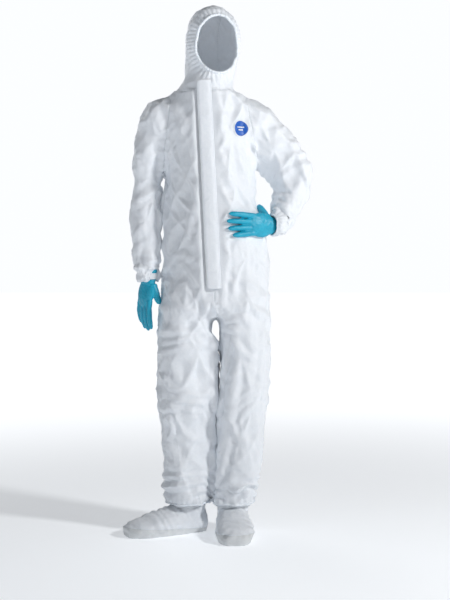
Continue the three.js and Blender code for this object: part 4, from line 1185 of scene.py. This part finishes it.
for side, (wrist, fingers_way, thumb_side, mirrored, curls, thumb_way) in hands.items():
    hand = bmesh.new()
    sew_tube(hand, [(0, 0, -cuff_long, cuff_half, cuff_half - 0.002),
                    (0, 0, 0, cuff_half, cuff_half - 0.005),
                    (0, 0, 0.03, palm_half - 0.008, palm_deep + 0.001),
                    (0, 0, 0.06, palm_half - 0.002, palm_deep)], level=True)
    palm = Matrix.Translation((0, 0, palm_long / 2)) @ Matrix.Diagonal(
        (palm_half, palm_deep, palm_long / 2, 1))
    bmesh.ops.create_uvsphere(hand, u_segments=24, v_segments=16, radius=1.0, matrix=palm)
    for (root, long, lean), curl in zip(fingers, curls):
        tube = []
        for share, thick in ((0, 1), (0.25, 0.97), (0.45, 1.0), (0.62, 0.94), (0.8, 0.90), (0.93, 0.72),
                             (1, 0.40)):
            reach, bend = (0.026 + long) * share, curl * share / 2
            tube.append((root + lean * reach, reach * math.sin(bend),
                         palm_long - 0.026 + reach * math.cos(bend),
                         finger_half * thick, finger_half * thick))
        sew_tube(hand, tube, level=False)
    thumb_way = thumb_way.normalized()
    thumb = [(*(Vector((0.024, 0.004, 0.024)) + thumb_way * reach), half, half)
             for reach, half in ((0, 0.0140), (0.024, 0.0130), (0.042, 0.0115), (0.056, 0.0102),
                                 (0.065, 0.0070), (0.068, 0.0040))]
    sew_tube(hand, thumb, level=False)
    along = fingers_way.normalized()
    across_hand = (thumb_side - along * thumb_side.dot(along)).normalized()
    facing = along.cross(across_hand) * mirrored
    place = Matrix((across_hand, facing, along)).transposed().to_4x4()
    place.translation = wrist
    bmesh.ops.transform(hand, matrix=place, verts=hand.verts)
    bmesh.ops.recalc_face_normals(hand, faces=hand.faces)
    glove = even_skin(hand, glove_voxel, 4)
    spots = np.array([v.co for v in glove.verts])
    normals = np.array([v.normal for v in glove.verts])
    from_cuff = (spots - np.array(wrist)) @ np.array(along) + cuff_long
    wrinkle = 0.0007 * creases(spots, 0.012, 50.0) + 0.0003 * creases(spots, 0.006, 53.0)
    wrist_fold = np.exp(-((from_cuff - 0.045) / 0.022) ** 2)
    wrinkle += 0.0018 * wrist_fold * folds(spots, from_cuff, 0.011, 0.8, 56.0)
    wrinkle *= smooth_step(from_cuff, 0.018, 0.035)
    for v, spot in zip(glove.verts, spots + normals * wrinkle[:, None]):
        v.co = spot
    bmesh.ops.bisect_plane(glove, geom=[*glove.verts, *glove.edges, *glove.faces],
                           plane_co=wrist - along * (cuff_long - 0.002), plane_no=-along, clear_outer=True)
    body = "right_hand" if side == "right" else "left_arm"
    bead = cord_mesh(side + "_glove_bead", chains([e for e in glove.edges if e.is_boundary]), 0.0008)
    new_piece(side + "_glove_skin", thickened(glove, side + "_glove_skin", glove_wall), nitrile,
              rides=body, stands_for=[side + "_glove"])
    new_piece(side + "_glove_bead", bead, nitrile, rides=body)

# Overboots: the same white cloth gathered over the shoe, on a sole and toe of light grey coated
# fabric, dimpled to grip, that is sewn on round the foot.
coated, coated_tree, coated_shader = blank_material("slip_retardant_coated_fabric", "#D9DBDC", 0.62)
coated_place = fabric_coords(coated_tree)
dimples = node(coated_tree, "ShaderNodeTexVoronoi", [("Vector", coated_place)], in_Scale=330.0)
scuffs = node(coated_tree, "ShaderNodeTexNoise", [("Vector", coated_place)], in_Scale=48.0, in_Detail=5.0)
coated_tree.links.new(mixed(coated_tree, scuffs.outputs[0], "#C3C6C8", "#E6E8E9"),
                      coated_shader.inputs["Base Color"])
bumped(coated_tree, coated_shader, [(dimples.outputs["Distance"], 0.0006), (scuffs.outputs[0], 0.0006)])
boot_voxel, wrap_level = 0.0042, 0.026


def outer_skin(name, way):
    """The outside of a hollow CAD node that is open towards a direction, capped there."""
    hollow = bmesh.new()
    hollow.from_mesh(frame["nodes"][name].data)
    bmesh.ops.remove_doubles(hollow, verts=hollow.verts, dist=1e-6)
    reach = max(v.co.dot(way) for v in hollow.verts)
    rim = [f for f in hollow.faces if all(v.co.dot(way) > reach - 0.0006 for v in f.verts)]
    bmesh.ops.delete(hollow, geom=rim, context="FACES")
    unseen, widest, outside = set(hollow.verts), 0.0, set()
    while unseen:
        part, edge_of_part = set(), [next(iter(unseen))]
        while edge_of_part:
            at = edge_of_part.pop()
            if at in part:
                continue
            part.add(at)
            edge_of_part += [e.other_vert(at) for e in at.link_edges]
        unseen -= part
        spread = np.ptp([v.co for v in part], axis=0).sum()
        if spread > widest:
            widest, outside = spread, part
    bmesh.ops.delete(hollow, geom=[v for v in hollow.verts if v not in outside], context="VERTS")
    bmesh.ops.holes_fill(hollow, edges=[e for e in hollow.edges if e.is_boundary])
    return hollow, reach


foot_ways = {"right": Vector((-math.sin(math.radians(65)), -math.cos(math.radians(65)), 0)),
             "left": Vector((math.sin(math.radians(2)), -math.cos(math.radians(2)), 0))}
for side, foot_way in foot_ways.items():
    boot_form, _ = outer_skin(side + "_overboot", Vector((0, 0, 1)))
    boot_form.from_mesh(frame["nodes"][side + "_overboot_sole"].data)
    boot = even_skin(boot_form, boot_voxel, 4)
    spots = np.array([v.co for v in boot.verts])
    normals = np.array([v.normal for v in boot.verts])
    along_foot = spots @ np.array(foot_way)
    above_sole = smooth_step(spots[:, 2], 0.006, 0.040) * (1 - smooth_step(spots[:, 2], 0.088, 0.105))
    rumple = 0.0030 * creases(spots, 0.045, 60.0) + 0.0016 * creases(spots, 0.020, 63.0)
    rumple += 0.0065 * folds(spots, along_foot - 0.7 * spots[:, 2], 0.036, 1.2, 66.0)
    for v, spot in zip(boot.verts, spots + normals * (rumple * above_sole)[:, None]):
        v.co = spot
        v.co.z = max(v.co.z, 0.0004)
    bmesh.ops.bisect_plane(boot, geom=[*boot.verts, *boot.edges, *boot.faces],
                           plane_co=(0, 0, 0.160), plane_no=(0, 0, 1), clear_outer=True)
    toe = max(along_foot)
    slope = Vector((0, 0, 1)) - foot_way * 0.075
    level_point = foot_way * (toe - 0.14) + Vector((0, 0, wrap_level))
    level_point -= foot_way * foot_way.dot(level_point) - foot_way * (toe - 0.14)
    bmesh.ops.bisect_plane(boot, geom=[*boot.verts, *boot.edges, *boot.faces],
                           plane_co=level_point, plane_no=slope)
    boot.normal_update()
    lower = [f for f in boot.faces if (f.calc_center_median() - level_point).dot(slope) < 0]
    sewn_line = [e for e in boot.edges if len(e.link_faces) == 2 and
                 len({(f.calc_center_median() - level_point).dot(slope) < 0 for f in e.link_faces}) == 2]
    boot_seam = cord_mesh(side + "_overboot_seam", chains(sewn_line), 0.0012)
    new_piece(side + "_overboot_seam", boot_seam, thread_white, rides="torso")
    wrap = boot.copy()
    wrap.faces.ensure_lookup_table()
    lower_at = {f.index for f in lower}
    bmesh.ops.delete(wrap, geom=[f for f in wrap.faces if f.index not in lower_at], context="FACES")
    bmesh.ops.delete(boot, geom=lower, context="FACES")
    new_piece(side + "_overboot_upper", thickened(boot, side + "_overboot_upper", cloth_thickness),
              spunbond, rides="torso", stands_for=[side + "_overboot"])
    new_piece(side + "_overboot_wrap", thickened(wrap, side + "_overboot_wrap", 0.0016), coated,
              rides="torso", stands_for=[side + "_overboot_sole"])
